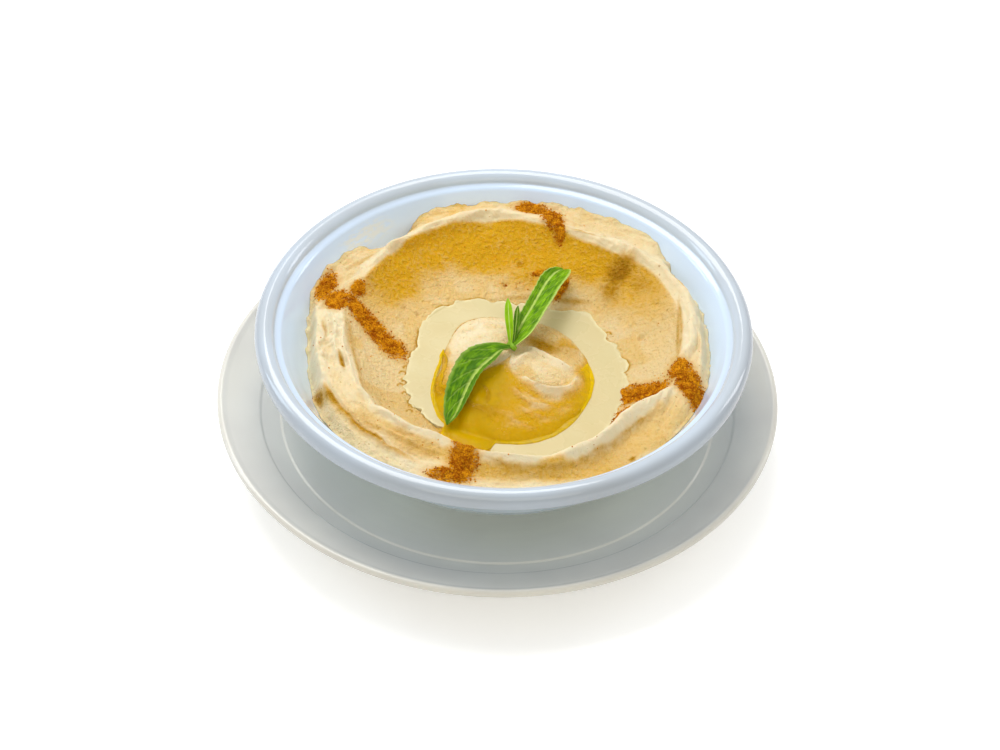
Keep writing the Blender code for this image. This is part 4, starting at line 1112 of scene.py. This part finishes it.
class HUMMUS_OT_oil(bpy.types.Operator):
    """Lays the olive oil on the near side of the mound and in the channel round it"""

    bl_idname = "hummus.oil"
    bl_label = "Make olive oil"

    def execute(self, context):
        p = context.scene.hummus_liquids
        s = context.scene.hummus_spread
        wobble = p.wobble / MM
        angle = np.linspace(OIL_FROM, OIL_TO, 460)
        foot = around(MOUND_DISTANCES, angle)
        ends = np.sqrt(np.clip(np.minimum(angle - OIL_FROM, OIL_TO - angle) / 14.0, 0, 1))
        spill = smoothstep(SPILL[0] - 2, SPILL[0] + 2, angle) * smoothstep(SPILL[1] + 1.5, SPILL[1] - 1.5, angle)
        outer = foot + 1.2 * ends + 0.12 * noise(angle / 5.0, 0 * angle, 61)
        spill = spill * smoothstep(SPILL[1] + 1.5, SPILL[1] - 8.0, angle) ** 0.5
        outer = outer + spill * np.clip(pool_edge(angle, wobble) + 1.2 - outer, 0, None)
        inner = foot * np.minimum(around(OIL_INNER, angle), 0.985)
        inner = inner + 1.1 * noise(angle / 6.0, 0 * angle, 62) * np.clip((outer - inner - 2.0) / 9.0, 0, 1)
        shares = np.concatenate([np.linspace(0.0, 0.9, 56), np.linspace(0.92, 1.0, 12)])[:, None]
        x, y = well_place(angle, inner + (outer - inner) * shares)
        ground = spread_top(x, y, s.streak / MM, s.grain / MM)
        bed = np.where(distance_past(angle, shares, inner, outer, foot) > 0, ground, 0.0)
        ground = np.where(ground < POOL_HEIGHT + 0.2, POOL_HEIGHT + 0.2, np.maximum(ground, bed))
        to_outer, to_inner = (1.0 - shares) * (outer - inner), shares * (outer - inner)
        edge = np.sqrt(np.clip(1 - (1 - np.clip(to_outer / 1.1, 0, 1)) ** 2, 0, 1))
        reach = np.minimum(4.5, 0.45 * (outer - inner)) * (0.35 + 0.65 * smoothstep(6.0, 14.0, outer - inner))
        fade = smoothstep(0.0, 1.0, to_inner / reach)
        z = ground + 0.05 + 0.32 * edge * (0.2 + 0.8 * fade)
        z[0], z[-1] = ground[0] - 0.1, ground[-1] - 0.1
        low = np.clip((POOL_HEIGHT + 3.4 - ground) / 3.2, 0, 1)
        narrow = smoothstep(9.0, 4.0, outer - inner) + 0 * x
        depth = np.clip(0.1 + 0.5 * low * (1 - 0.75 * narrow) + 0.8 * smoothstep(272, 238, angle), 0, 1) * smoothstep(0.0, 1.6, to_outer)
        left = smoothstep(270, 238, angle)
        cover = fade * np.clip(0.38 + 0.32 * low + 0.35 * narrow + 0.5 * left, 0, 0.97)
        ribs = sum(np.clip(fold_height(x, y, fold), 0, None) for fold in MOUND_FOLDS)
        cover = cover * (1 - 0.7 * np.clip(1.3 * ribs, 0, 1) * smoothstep(1.0, 4.0, to_outer))
        creamy = spots(x, y, PALE_SPOTS) * (1 + 0.8 * noise(x / 1.6, y / 1.6, 63))
        cover = cover * (1 - 0.75 * np.clip(creamy, 0, 1) * smoothstep(1.0, 4.0, to_outer))
        parted = np.exp(-(((shares - 0.5) / 0.2) ** 2)) * smoothstep(163, 172, angle) * smoothstep(218, 211, angle)
        cover = cover * (1 - 0.85 * parted)
        line = np.exp(-(((to_outer - 0.5) / 0.5) ** 2)) * 0.45 * (1 - 0.8 * spill)
        masks = {"depth": depth, "line": line, "cover": cover}
        piece = grid("oil_film", x, y, z, oil_material(p), closed_round=False, attributes=masks)
        settle(piece, "olive_oil")
        return {"FINISHED"}


def distance_past(angle, shares, inner, outer, foot):
    """How far places of the oil lie outside the mound's foot."""
    return inner + (outer - inner) * shares - foot


# A leaf: middle line, (share along, half width) points, where its rib lies across it (-1 to 1), lift of
# its left and right side as shares of the width, brightness, and how much its edges catch the light
Leaf = namedtuple("Leaf", "path widths rib lifts bright edge")
SPRIG_NODE = Vector((2.6, -2.6, 43.9))
LEAVES = (
    Leaf(((2.2, -3.6, 43.9), (-1.5, -5.6, 45.0), (-5.5, -9.4, 45.2), (-9.2, -13.2, 44.5), (-12.1, -18.3, 43.1),
          (-14.2, -24.6, 41.2), (-15.7, -30.2, 39.6), (-17.2, -34.6, 38.3)),
         ((0, 0.7), (0.08, 1.9), (0.2, 4.0), (0.36, 5.0), (0.52, 4.7), (0.68, 4.1), (0.84, 3.1), (0.94, 1.8), (1, 0.2)),
         -0.5, (0.75, 0.22), 0.12, 0.35),
    Leaf(((2.8, -3.2, 43.9), (5.6, 1.6, 44.7), (8.0, 7.4, 45.0), (10.6, 14.4, 44.8), (13.3, 22.2, 44.2),
          (15.8, 29.2, 43.2), (18.0, 34.4, 42.4), (19.6, 37.2, 41.9)),
         ((0, 1.4), (0.08, 3.0), (0.22, 3.9), (0.45, 4.0), (0.65, 4.3), (0.82, 4.5), (0.93, 3.6), (0.98, 2.4), (1, 1.0)),
         -0.5, (0.7, 0.42), 0.33, 0.9),
    Leaf(((2.2, -2.6, 44.0), (2.0, 0.6, 46.4), (1.5, 5.0, 48.6), (1.2, 9.4, 49.8), (1.0, 12.8, 50.3)),
         ((0, 0.5), (0.3, 1.2), (0.6, 1.4), (0.85, 0.9), (1, 0.1)), 0.0, (0.5, 0.5), 1.0, 0.8),
    Leaf(((3.2, -2.4, 44.0), (3.6, 1.0, 45.8), (4.0, 5.6, 47.2), (4.2, 9.6, 47.9), (4.4, 11.8, 48.1)),
         ((0, 0.4), (0.3, 0.9), (0.6, 1.0), (0.85, 0.7), (1, 0.1)), 0.0, (0.5, 0.5), 0.12, 0.2),
)


def leaf_rows(leaf, steps, columns):
    """Points of a leaf's middle surface, with its share along and its share out from the rib."""
    knots = np.array(leaf.path, float)
    lengths = np.concatenate([[0.0], np.cumsum(np.linalg.norm(np.diff(knots, axis=0), axis=1))])
    shares = np.linspace(0.0, 1.0, steps + 1)
    middle = np.stack([along(list(zip(lengths, knots[:, k])), shares * lengths[-1]) for k in range(3)], -1)
    heading = np.gradient(middle, axis=0)
    half = along(leaf.widths, shares)
    rows = []
    for t, place, ahead, width in zip(shares, middle, heading, half):
        run = Vector(ahead).normalized()
        side = run.cross(Vector((0, 0, 1))).normalized()
        up = side.cross(run).normalized()
        large = leaf.widths[2][1] > 2
        tooth = ((t * 15.0) % 1.0) ** 1.5
        width *= 1.0 + 0.07 * tooth * smoothstep(0.12, 0.3, t) * large
        row = []
        for column in range(columns + 1):
            s = 2.0 * column / columns - 1.0
            out = (s - leaf.rib) / (1.0 - leaf.rib if s > leaf.rib else 1.0 + leaf.rib)
            lift = leaf.lifts[1 if out > 0 else 0] * abs(s - leaf.rib) ** 1.15 * width
            pleat = math.sin(2 * math.pi * (t * 6.0 - abs(out) * 1.9)) * math.sin(math.pi * abs(out)) ** 0.7
            curl = 0.30 * out**2 * math.sin(t * 17.0 + (2.0 if out > 0 else 0.0))
            relief = (0.05 * pleat + curl) * width / 5.0 - 0.28 * math.exp(-((out / 0.09) ** 2)) * large
            flat = 1.0 / math.sqrt(1.0 + (0.5 * leaf.lifts[1 if out > 0 else 0]) ** 2)
            point = Vector(place) + side * (width * s * flat) + up * (lift + relief)
            row.append((point, t, out))
        rows.append(row)
    return rows


def leaf_material(p):
    inputs = {"Place": (VECTOR, None)}
    inputs |= {name: (FLOAT, 0.0) for name in ("Along", "Across", "Bright", "Edge")}
    inputs |= {name: (COLOUR, None) for name in ("Dark", "Light", "Rib")}
    group, start, end = shader_group("Mint leaf", inputs, {"Color": COLOUR, "Height": FLOAT})
    off = maths(group, "ABSOLUTE", start.outputs["Across"])
    slant = maths(group, "SUBTRACT", maths(group, "MULTIPLY", start.outputs["Along"], 6.0),
                  maths(group, "MULTIPLY", off, 1.9))
    slant = maths(group, "ADD", slant, maths(group, "MULTIPLY", grainy(group, start.outputs["Place"], 2.4, 3.0), 0.5))
    wave = maths(group, "ABSOLUTE", maths(group, "SUBTRACT", maths(group, "FRACT", slant), 0.5))
    vein = maths(group, "MULTIPLY", span(group, wave, 0.16, 0.0), span(group, off, 0.98, 0.6))
    rib = span(group, off, 0.16, 0.04)
    # Painted highlight along the blade's edges.
    edge = maths(group, "MULTIPLY", span(group, off, 0.82, 0.97), start.outputs["Edge"])
    stretch = add(group, "ShaderNodeCombineXYZ", {0: maths(group, "MULTIPLY", start.outputs["Along"], 0.005),
                                                 1: maths(group, "MULTIPLY", start.outputs["Across"], 0.007)})
    streaks = grainy(group, stretch.outputs[0], 0.8, 4.0)
    patch = grainy(group, start.outputs["Place"], 3.0, 4.0)
    shade = maths(group, "ADD", start.outputs["Bright"], maths(group, "MULTIPLY", maths(group, "SUBTRACT", patch, 0.5), 1.5))
    shade = maths(group, "ADD", shade, maths(group, "MULTIPLY", maths(group, "SUBTRACT", streaks, 0.5), 1.8))
    blade = blend(group, clamped(group, shade), start.outputs["Dark"], start.outputs["Light"])
    veined = blend(group, maths(group, "MULTIPLY", vein, 0.15), blade, start.outputs["Rib"])
    shadow = maths(group, "MULTIPLY", span(group, wave, 0.32, 0.5), 0.09)
    veined = blend(group, shadow, veined, start.outputs["Dark"])
    edged = blend(group, maths(group, "MULTIPLY", edge, 0.8), veined, start.outputs["Rib"])
    colour = blend(group, maths(group, "MULTIPLY", rib, 0.85), edged, start.outputs["Rib"])
    height = maths(group, "SUBTRACT", streaks, maths(group, "MULTIPLY", vein, 0.9))
    group.links.new(colour, end.inputs["Color"])
    group.links.new(height, end.inputs["Height"])
    made, tree, shader = principled("Mint", Roughness=0.42, Metallic=0.0, Specular_IOR_Level=0.09)
    values = {"Place": object_place(tree), "Dark": (*p.leaf_dark, 1.0), "Light": (*p.leaf_light, 1.0),
              "Rib": (*p.rib, 1.0)}
    values |= {key.capitalize(): attribute(tree, key) for key in ("along", "across", "bright", "edge")}
    look = call_group(tree, group, values)
    bump = add(tree, "ShaderNodeBump", {"Height": look.outputs["Height"], "Strength": 0.6, "Distance": 0.0004})
    tree.links.new(look.outputs["Color"], shader.inputs["Base Color"])
    tree.links.new(bump.outputs[0], shader.inputs["Normal"])
    return made


class HUMMUS_OT_mint(bpy.types.Operator):
    """Grows the mint sprig: a short stem with two large folded leaves and two small ones"""

    bl_idname = "hummus.mint"
    bl_label = "Make mint sprig"

    def execute(self, context):
        p = context.scene.hummus_garnish
        bm = bmesh.new()
        layers = [bm.verts.layers.float.new(key) for key in ("along", "across", "bright", "edge")]
        thickness = 0.22

        def vert(place, *values):
            made = bm.verts.new((place.x * MM + AXIS_X, place.y * MM, place.z * MM))
            for layer, value in zip(layers, values):
                made[layer] = value
            return made

        for leaf in LEAVES:
            steps, columns = (120, 40) if leaf.widths[2][1] > 2 else (36, 12)
            rows = leaf_rows(leaf, steps, columns)
            drop = Vector((0, 0, thickness))
            upper, lower = ([[vert(place - shift, t, s, leaf.bright, leaf.edge) for place, t, s in row]
                             for row in rows] for shift in (Vector(), drop))
            for sheet, flip in ((upper, False), (lower, True)):
                for row, following in zip(sheet, sheet[1:]):
                    for k in range(columns):
                        face = [row[k], row[k + 1], following[k + 1], following[k]]
                        bm.faces.new(face[::-1] if flip else face)
            for borders in (([r[0] for r in upper], [r[0] for r in lower]),
                            ([r[-1] for r in upper], [r[-1] for r in lower]),
                            (upper[0], lower[0]), (upper[-1], lower[-1])):
                for k in range(len(borders[0]) - 1):
                    bm.faces.new((borders[0][k], borders[0][k + 1], borders[1][k + 1], borders[1][k]))
        lean = Vector((0.6, -1.0, 0.12)).normalized()
        across = lean.cross(Vector((0, 0, 1))).normalized()
        over = across.cross(lean)
        rings = []
        for step in range(9):
            t = step / 8
            radius = 0.95 + 0.35 * math.exp(-((t / 0.3) ** 2)) - 0.4 * (t > 0.99)
            middle = SPRIG_NODE + lean * (-1.2 + 3.4 * t) - Vector((0, 0, 0.35))
            ring = []
            for turn in range(16):
                a = 2 * math.pi * turn / 16
                square = 1.0 + 0.12 * math.cos(4 * a)
                place = middle + (across * math.cos(a) + over * math.sin(a)) * radius * square
                ring.append(vert(place, 0.0, 0.4, 0.55, 0.0))
            rings.append(ring)
        for ring, following in zip(rings, rings[1:]):
            for k in range(16):
                bm.faces.new((ring[k], ring[(k + 1) % 16], following[(k + 1) % 16], following[k]))
        bm.faces.new(rings[0][::-1])
        bm.faces.new(rings[-1])
        bmesh.ops.recalc_face_normals(bm, faces=bm.faces)
        mesh = bpy.data.meshes.new("mint_leaves")
        bm.to_mesh(mesh)
        bm.free()
        mesh.materials.append(leaf_material(p))
        mesh.shade_smooth()
        piece = bpy.data.objects.new("mint_leaves", mesh)
        context.scene.collection.objects.link(piece)
        settle(piece, "mint_sprig")
        return {"FINISHED"}


def scatter_tree():
    """Geometry Nodes that strew small grains over a surface by its cumin attribute."""
    tree = bpy.data.node_groups.new("Strewn grains", "GeometryNodeTree")
    face = tree.interface
    face.new_socket(name="Surface", in_out="INPUT", socket_type="NodeSocketGeometry")
    density = face.new_socket(name="Density", in_out="INPUT", socket_type="NodeSocketFloat")
    size = face.new_socket(name="Grain size", in_out="INPUT", socket_type="NodeSocketFloat")
    pile = face.new_socket(name="Pile height", in_out="INPUT", socket_type="NodeSocketFloat")
    seed = face.new_socket(name="Seed", in_out="INPUT", socket_type="NodeSocketInt")
    surface = face.new_socket(name="Material", in_out="INPUT", socket_type="NodeSocketMaterial")
    face.new_socket(name="Grains", in_out="OUTPUT", socket_type="NodeSocketGeometry")
    start, end = tree.nodes.new("NodeGroupInput"), tree.nodes.new("NodeGroupOutput")
    mask = add(tree, "GeometryNodeInputNamedAttribute", {"Name": "cumin"}, data_type="FLOAT").outputs["Attribute"]
    amount = maths_in(tree, "MULTIPLY", mask, start.outputs["Density"])
    points = add(tree, "GeometryNodeDistributePointsOnFaces", {
        "Mesh": start.outputs["Surface"], "Density": amount, "Seed": start.outputs["Seed"]})
    heap = maths_in(tree, "MULTIPLY", mask, start.outputs["Pile height"])
    lift = add(tree, "FunctionNodeRandomValue", {"Min": -0.15, "Max": 1.0, "Seed": 3}, data_type="FLOAT")
    rise = add(tree, "ShaderNodeCombineXYZ", {"Z": maths_in(tree, "MULTIPLY", heap, lift.outputs[1])})
    raised = add(tree, "GeometryNodeSetPosition", {"Geometry": points.outputs["Points"], "Offset": rise.outputs[0]})
    side = start.outputs["Grain size"]
    size_vector = add(tree, "ShaderNodeCombineXYZ", {0: side, 1: side, 2: side})
    grain = add(tree, "GeometryNodeMeshCube", {"Size": size_vector.outputs[0]})
    stretch = add(tree, "FunctionNodeRandomValue", {
        "Min": (0.5, 0.4, 0.4), "Max": (1.8, 1.1, 0.9), "Seed": 5}, data_type="FLOAT_VECTOR")
    turn = add(tree, "FunctionNodeRandomValue", {"Max": (6.28, 6.28, 6.28), "Seed": 7}, data_type="FLOAT_VECTOR")
    strewn = add(tree, "GeometryNodeInstanceOnPoints", {
        "Points": raised.outputs[0], "Instance": grain.outputs["Mesh"], "Scale": stretch.outputs[0],
        "Rotation": turn.outputs[0]})
    tone = add(tree, "FunctionNodeRandomValue", {"Seed": 9}, data_type="FLOAT")
    toned = add(tree, "GeometryNodeStoreNamedAttribute", {
        "Geometry": strewn.outputs[0], "Name": "tone", "Value": tone.outputs[1]}, data_type="FLOAT",
        domain="INSTANCE")
    real = add(tree, "GeometryNodeRealizeInstances", {"Geometry": toned.outputs[0]})
    finish = add(tree, "GeometryNodeSetMaterial", {
        "Geometry": real.outputs[0], "Material": start.outputs["Material"]})
    tree.links.new(finish.outputs[0], end.inputs["Grains"])
    sockets = {"density": density, "size": size, "pile": pile, "seed": seed, "material": surface}
    return tree, {key: socket.identifier for key, socket in sockets.items()}


def maths_in(tree, operation, first, second):
    """A maths node, which Geometry Nodes share with shaders."""
    return maths(tree, operation, first, second)


def cumin_material(p):
    made, tree, shader = principled("Ground cumin", Roughness=0.8, Metallic=0.0, Specular_IOR_Level=0.05)
    tone = attribute(tree, "tone")
    patch = grainy(tree, object_place(tree), 2.6, 2.0)
    mixed = maths(tree, "ADD", maths(tree, "MULTIPLY", tone, 0.6), span(tree, patch, 0.35, 0.65, -0.1, 0.45))
    colour = blend(tree, span(tree, mixed, 0.0, 1.0), tuple(p.cumin_dark), tuple(p.cumin_light))
    tree.links.new(colour, shader.inputs["Base Color"])
    return made


class HUMMUS_OT_cumin(bpy.types.Operator):
    """Strews ground cumin over the hummus in patches, with loose grains around"""

    bl_idname = "hummus.cumin"
    bl_label = "Make ground cumin"

    def execute(self, context):
        p = context.scene.hummus_garnish
        spread = bpy.data.objects.get("hummus_spread")
        if spread is None:
            self.report({"ERROR"}, "Make the hummus first: the cumin lies on it")
            raise RuntimeError("hummus_spread is missing")
        holder = spread.copy()
        holder.data = spread.data.copy()
        holder.name = "cumin_surface"
        context.scene.collection.objects.link(holder)
        count = len(holder.data.vertices)
        flat = np.empty(count * 3)
        holder.data.vertices.foreach_get("co", flat)
        x, y, z = ((flat.reshape(-1, 3) - (AXIS_X, 0, 0)) / MM).T
        clump = 0.62 + 0.5 * noise(x / 1.9, y / 1.9, 71)
        mask = spots(x, y, CUMIN_PATCHES)
        mask = np.clip((mask - 0.12) * 1.35, 0, 1) * np.clip(clump, 0, 1) + 0.05 * mask
        distance, _ = well_polar(x, y)
        mask = mask + 0.0005 * (distance > 20) * (noise(x / 13, y / 13, 72) > 0.1)
        mask = np.where(z > POOL_HEIGHT - 0.2, mask, mask * 0.0)
        mask[-p_count(context):] = 0.0
        layer = holder.data.attributes.new("cumin", "FLOAT", "POINT")
        layer.data.foreach_set("value", mask.astype(np.float32))
        tree, sockets = scatter_tree()
        modifier = holder.modifiers.new("Strewn grains", "NODES")
        modifier.node_group = tree
        values = {"density": p.cumin_density, "size": p.grain_size, "pile": 0.0008, "seed": 4,
                  "material": cumin_material(p)}
        for key, value in values.items():
            modifier[sockets[key]] = value
        piece = applied(holder, "ground_cumin")
        settle(piece, None, replace=False)
        return {"FINISHED"}


def p_count(context):
    """Vertices of the spread's three underside rings, which carry no cumin."""
    return 3 * context.scene.hummus_spread.turns


class HUMMUS_OT_stage(bpy.types.Operator):
    """Sets the pale floor, the studio lights and the camera"""

    bl_idname = "hummus.stage"
    bl_label = "Set stage"

    def execute(self, context):
        p = context.scene.hummus_stage
        scene = context.scene
        self.floor(scene, p)
        aim = Vector((AXIS_X, 0.0, BOWL_HIGH[2] - 0.0032))
        self.camera(scene, p, aim)
        self.area(scene, "Key", (-0.22, 0.42, 0.95), (0.75, 0.75), p.key, (1.0, 0.99, 0.97), aim)
        self.area(scene, "Fill", (0.0, -0.75, 0.5), (1.0, 0.4), 1.3, (1.0, 0.95, 0.82), aim)
        self.area(scene, "Window left", (-0.75, 0.25, 0.42), (0.22, 0.4), 1.1, (0.70, 0.85, 1.0), aim)
        self.area(scene, "Window right", (0.7, 0.35, 0.42), (0.16, 0.4), 0.8, (0.97, 0.98, 1.0), aim)
        self.world(scene, p)
        scene.view_settings.view_transform = "Standard"
        return {"FINISHED"}

    def world(self, scene, p):
        """Soft light all round: cool from above and behind, dimmer and warmer from the near side."""
        world = bpy.data.worlds.new("Studio")
        world.use_nodes = True
        tree = world.node_tree
        direction = add(tree, "ShaderNodeTexCoord").outputs["Generated"]
        axes = add(tree, "ShaderNodeSeparateXYZ", {0: direction}).outputs
        towards = maths(tree, "ADD", axes["Y"], maths(tree, "MULTIPLY", axes["Z"], 0.9))
        colour = blend(tree, span(tree, towards, -0.6, 0.9), tuple(p.near_light), tuple(p.far_light))
        back = tree.nodes["Background"]
        tree.links.new(colour, back.inputs["Color"])
        back.inputs["Strength"].default_value = p.world
        scene.world = world

    def floor(self, scene, p):
        made, tree, shader = principled("Floor", Roughness=0.6)
        shader.inputs["Emission Color"].default_value = (1.0, 1.0, 1.0, 1.0)
        seen = add(tree, "ShaderNodeLightPath").outputs["Is Camera Ray"]
        tree.links.new(maths(tree, "MULTIPLY", seen, p.glow), shader.inputs["Emission Strength"])
        shade = grainy(tree, object_place(tree), 120, 2.0)
        light = tuple(min(1.0, value + 0.02) for value in p.floor)
        colour = blend(tree, shade, tuple(p.floor), light)
        tree.links.new(colour, shader.inputs["Base Color"])
        mesh = bpy.data.meshes.new("floor")
        bm = bmesh.new()
        bmesh.ops.create_grid(bm, x_segments=1, y_segments=1, size=4.0)
        bm.to_mesh(mesh)
        bm.free()
        mesh.materials.append(made)
        floor = bpy.data.objects.new("floor", mesh)
        scene.collection.objects.link(floor)

    def camera(self, scene, p, aim):
        data = bpy.data.cameras.new("Camera")
        data.lens, data.sensor_width = p.lens, 36.0
        data.shift_x, data.shift_y = -0.0039, -0.0447
        data.clip_end = 20.0
        camera = bpy.data.objects.new("Camera", data)
        away = Vector((0.0, -math.cos(p.elevation), math.sin(p.elevation)))
        camera.location = aim + away * p.distance
        facing = (-away).to_track_quat("-Z", "Y").to_matrix() @ Matrix.Rotation(p.roll, 3, "Z")
        camera.rotation_euler = facing.to_euler()
        scene.collection.objects.link(camera)
        scene.camera = camera

    def area(self, scene, name, place, size, power, colour, aim):
        data = bpy.data.lights.new(name, "AREA")
        data.shape, data.size, data.size_y = "RECTANGLE", *size
        data.energy, data.color = power, colour
        light = bpy.data.objects.new(name, data)
        light.location = place
        light.rotation_euler = (aim - light.location).to_track_quat("-Z", "Y").to_euler()
        scene.collection.objects.link(light)


class HUMMUS_PT_panel(bpy.types.Panel):
    """Buttons and sizes for the dish"""

    bl_idname = "HUMMUS_PT_panel"
    bl_label = "Bowl of hummus"
    bl_space_type = "VIEW_3D"
    bl_region_type = "UI"
    bl_category = "Hummus"

    def draw(self, context):
        for operator in OPERATORS:
            self.layout.operator(operator.bl_idname)
        for key in GROUPS:
            box = self.layout.box()
            group = getattr(context.scene, key)
            for name in group.bl_rna.properties.keys():
                if name not in ("rna_type", "name"):
                    box.prop(group, name)


OPERATORS = (
    HUMMUS_OT_tableware, HUMMUS_OT_spread, HUMMUS_OT_sauce, HUMMUS_OT_oil, HUMMUS_OT_mint,
    HUMMUS_OT_cumin, HUMMUS_OT_stage,
)
GROUPS = {
    "hummus_tableware": HummusTableware, "hummus_spread": HummusSpread, "hummus_liquids": HummusLiquids,
    "hummus_garnish": HummusGarnish, "hummus_stage": HummusStage,
}


def register():
    for made in (*GROUPS.values(), *OPERATORS, HUMMUS_PT_panel):
        bpy.utils.register_class(made)
    for key, group in GROUPS.items():
        setattr(bpy.types.Scene, key, PointerProperty(type=group))


def unregister():
    for key in GROUPS:
        delattr(bpy.types.Scene, key)
    for made in (HUMMUS_PT_panel, *reversed(OPERATORS), *reversed(GROUPS.values())):
        bpy.utils.unregister_class(made)


def main():
    register()
    bpy.ops.hummus.tableware()
    bpy.ops.hummus.spread()
    bpy.ops.hummus.sauce()
    bpy.ops.hummus.oil()
    bpy.ops.hummus.mint()
    bpy.ops.hummus.cumin()
    bpy.ops.hummus.stage()


if __name__ == "__main__":
    main()
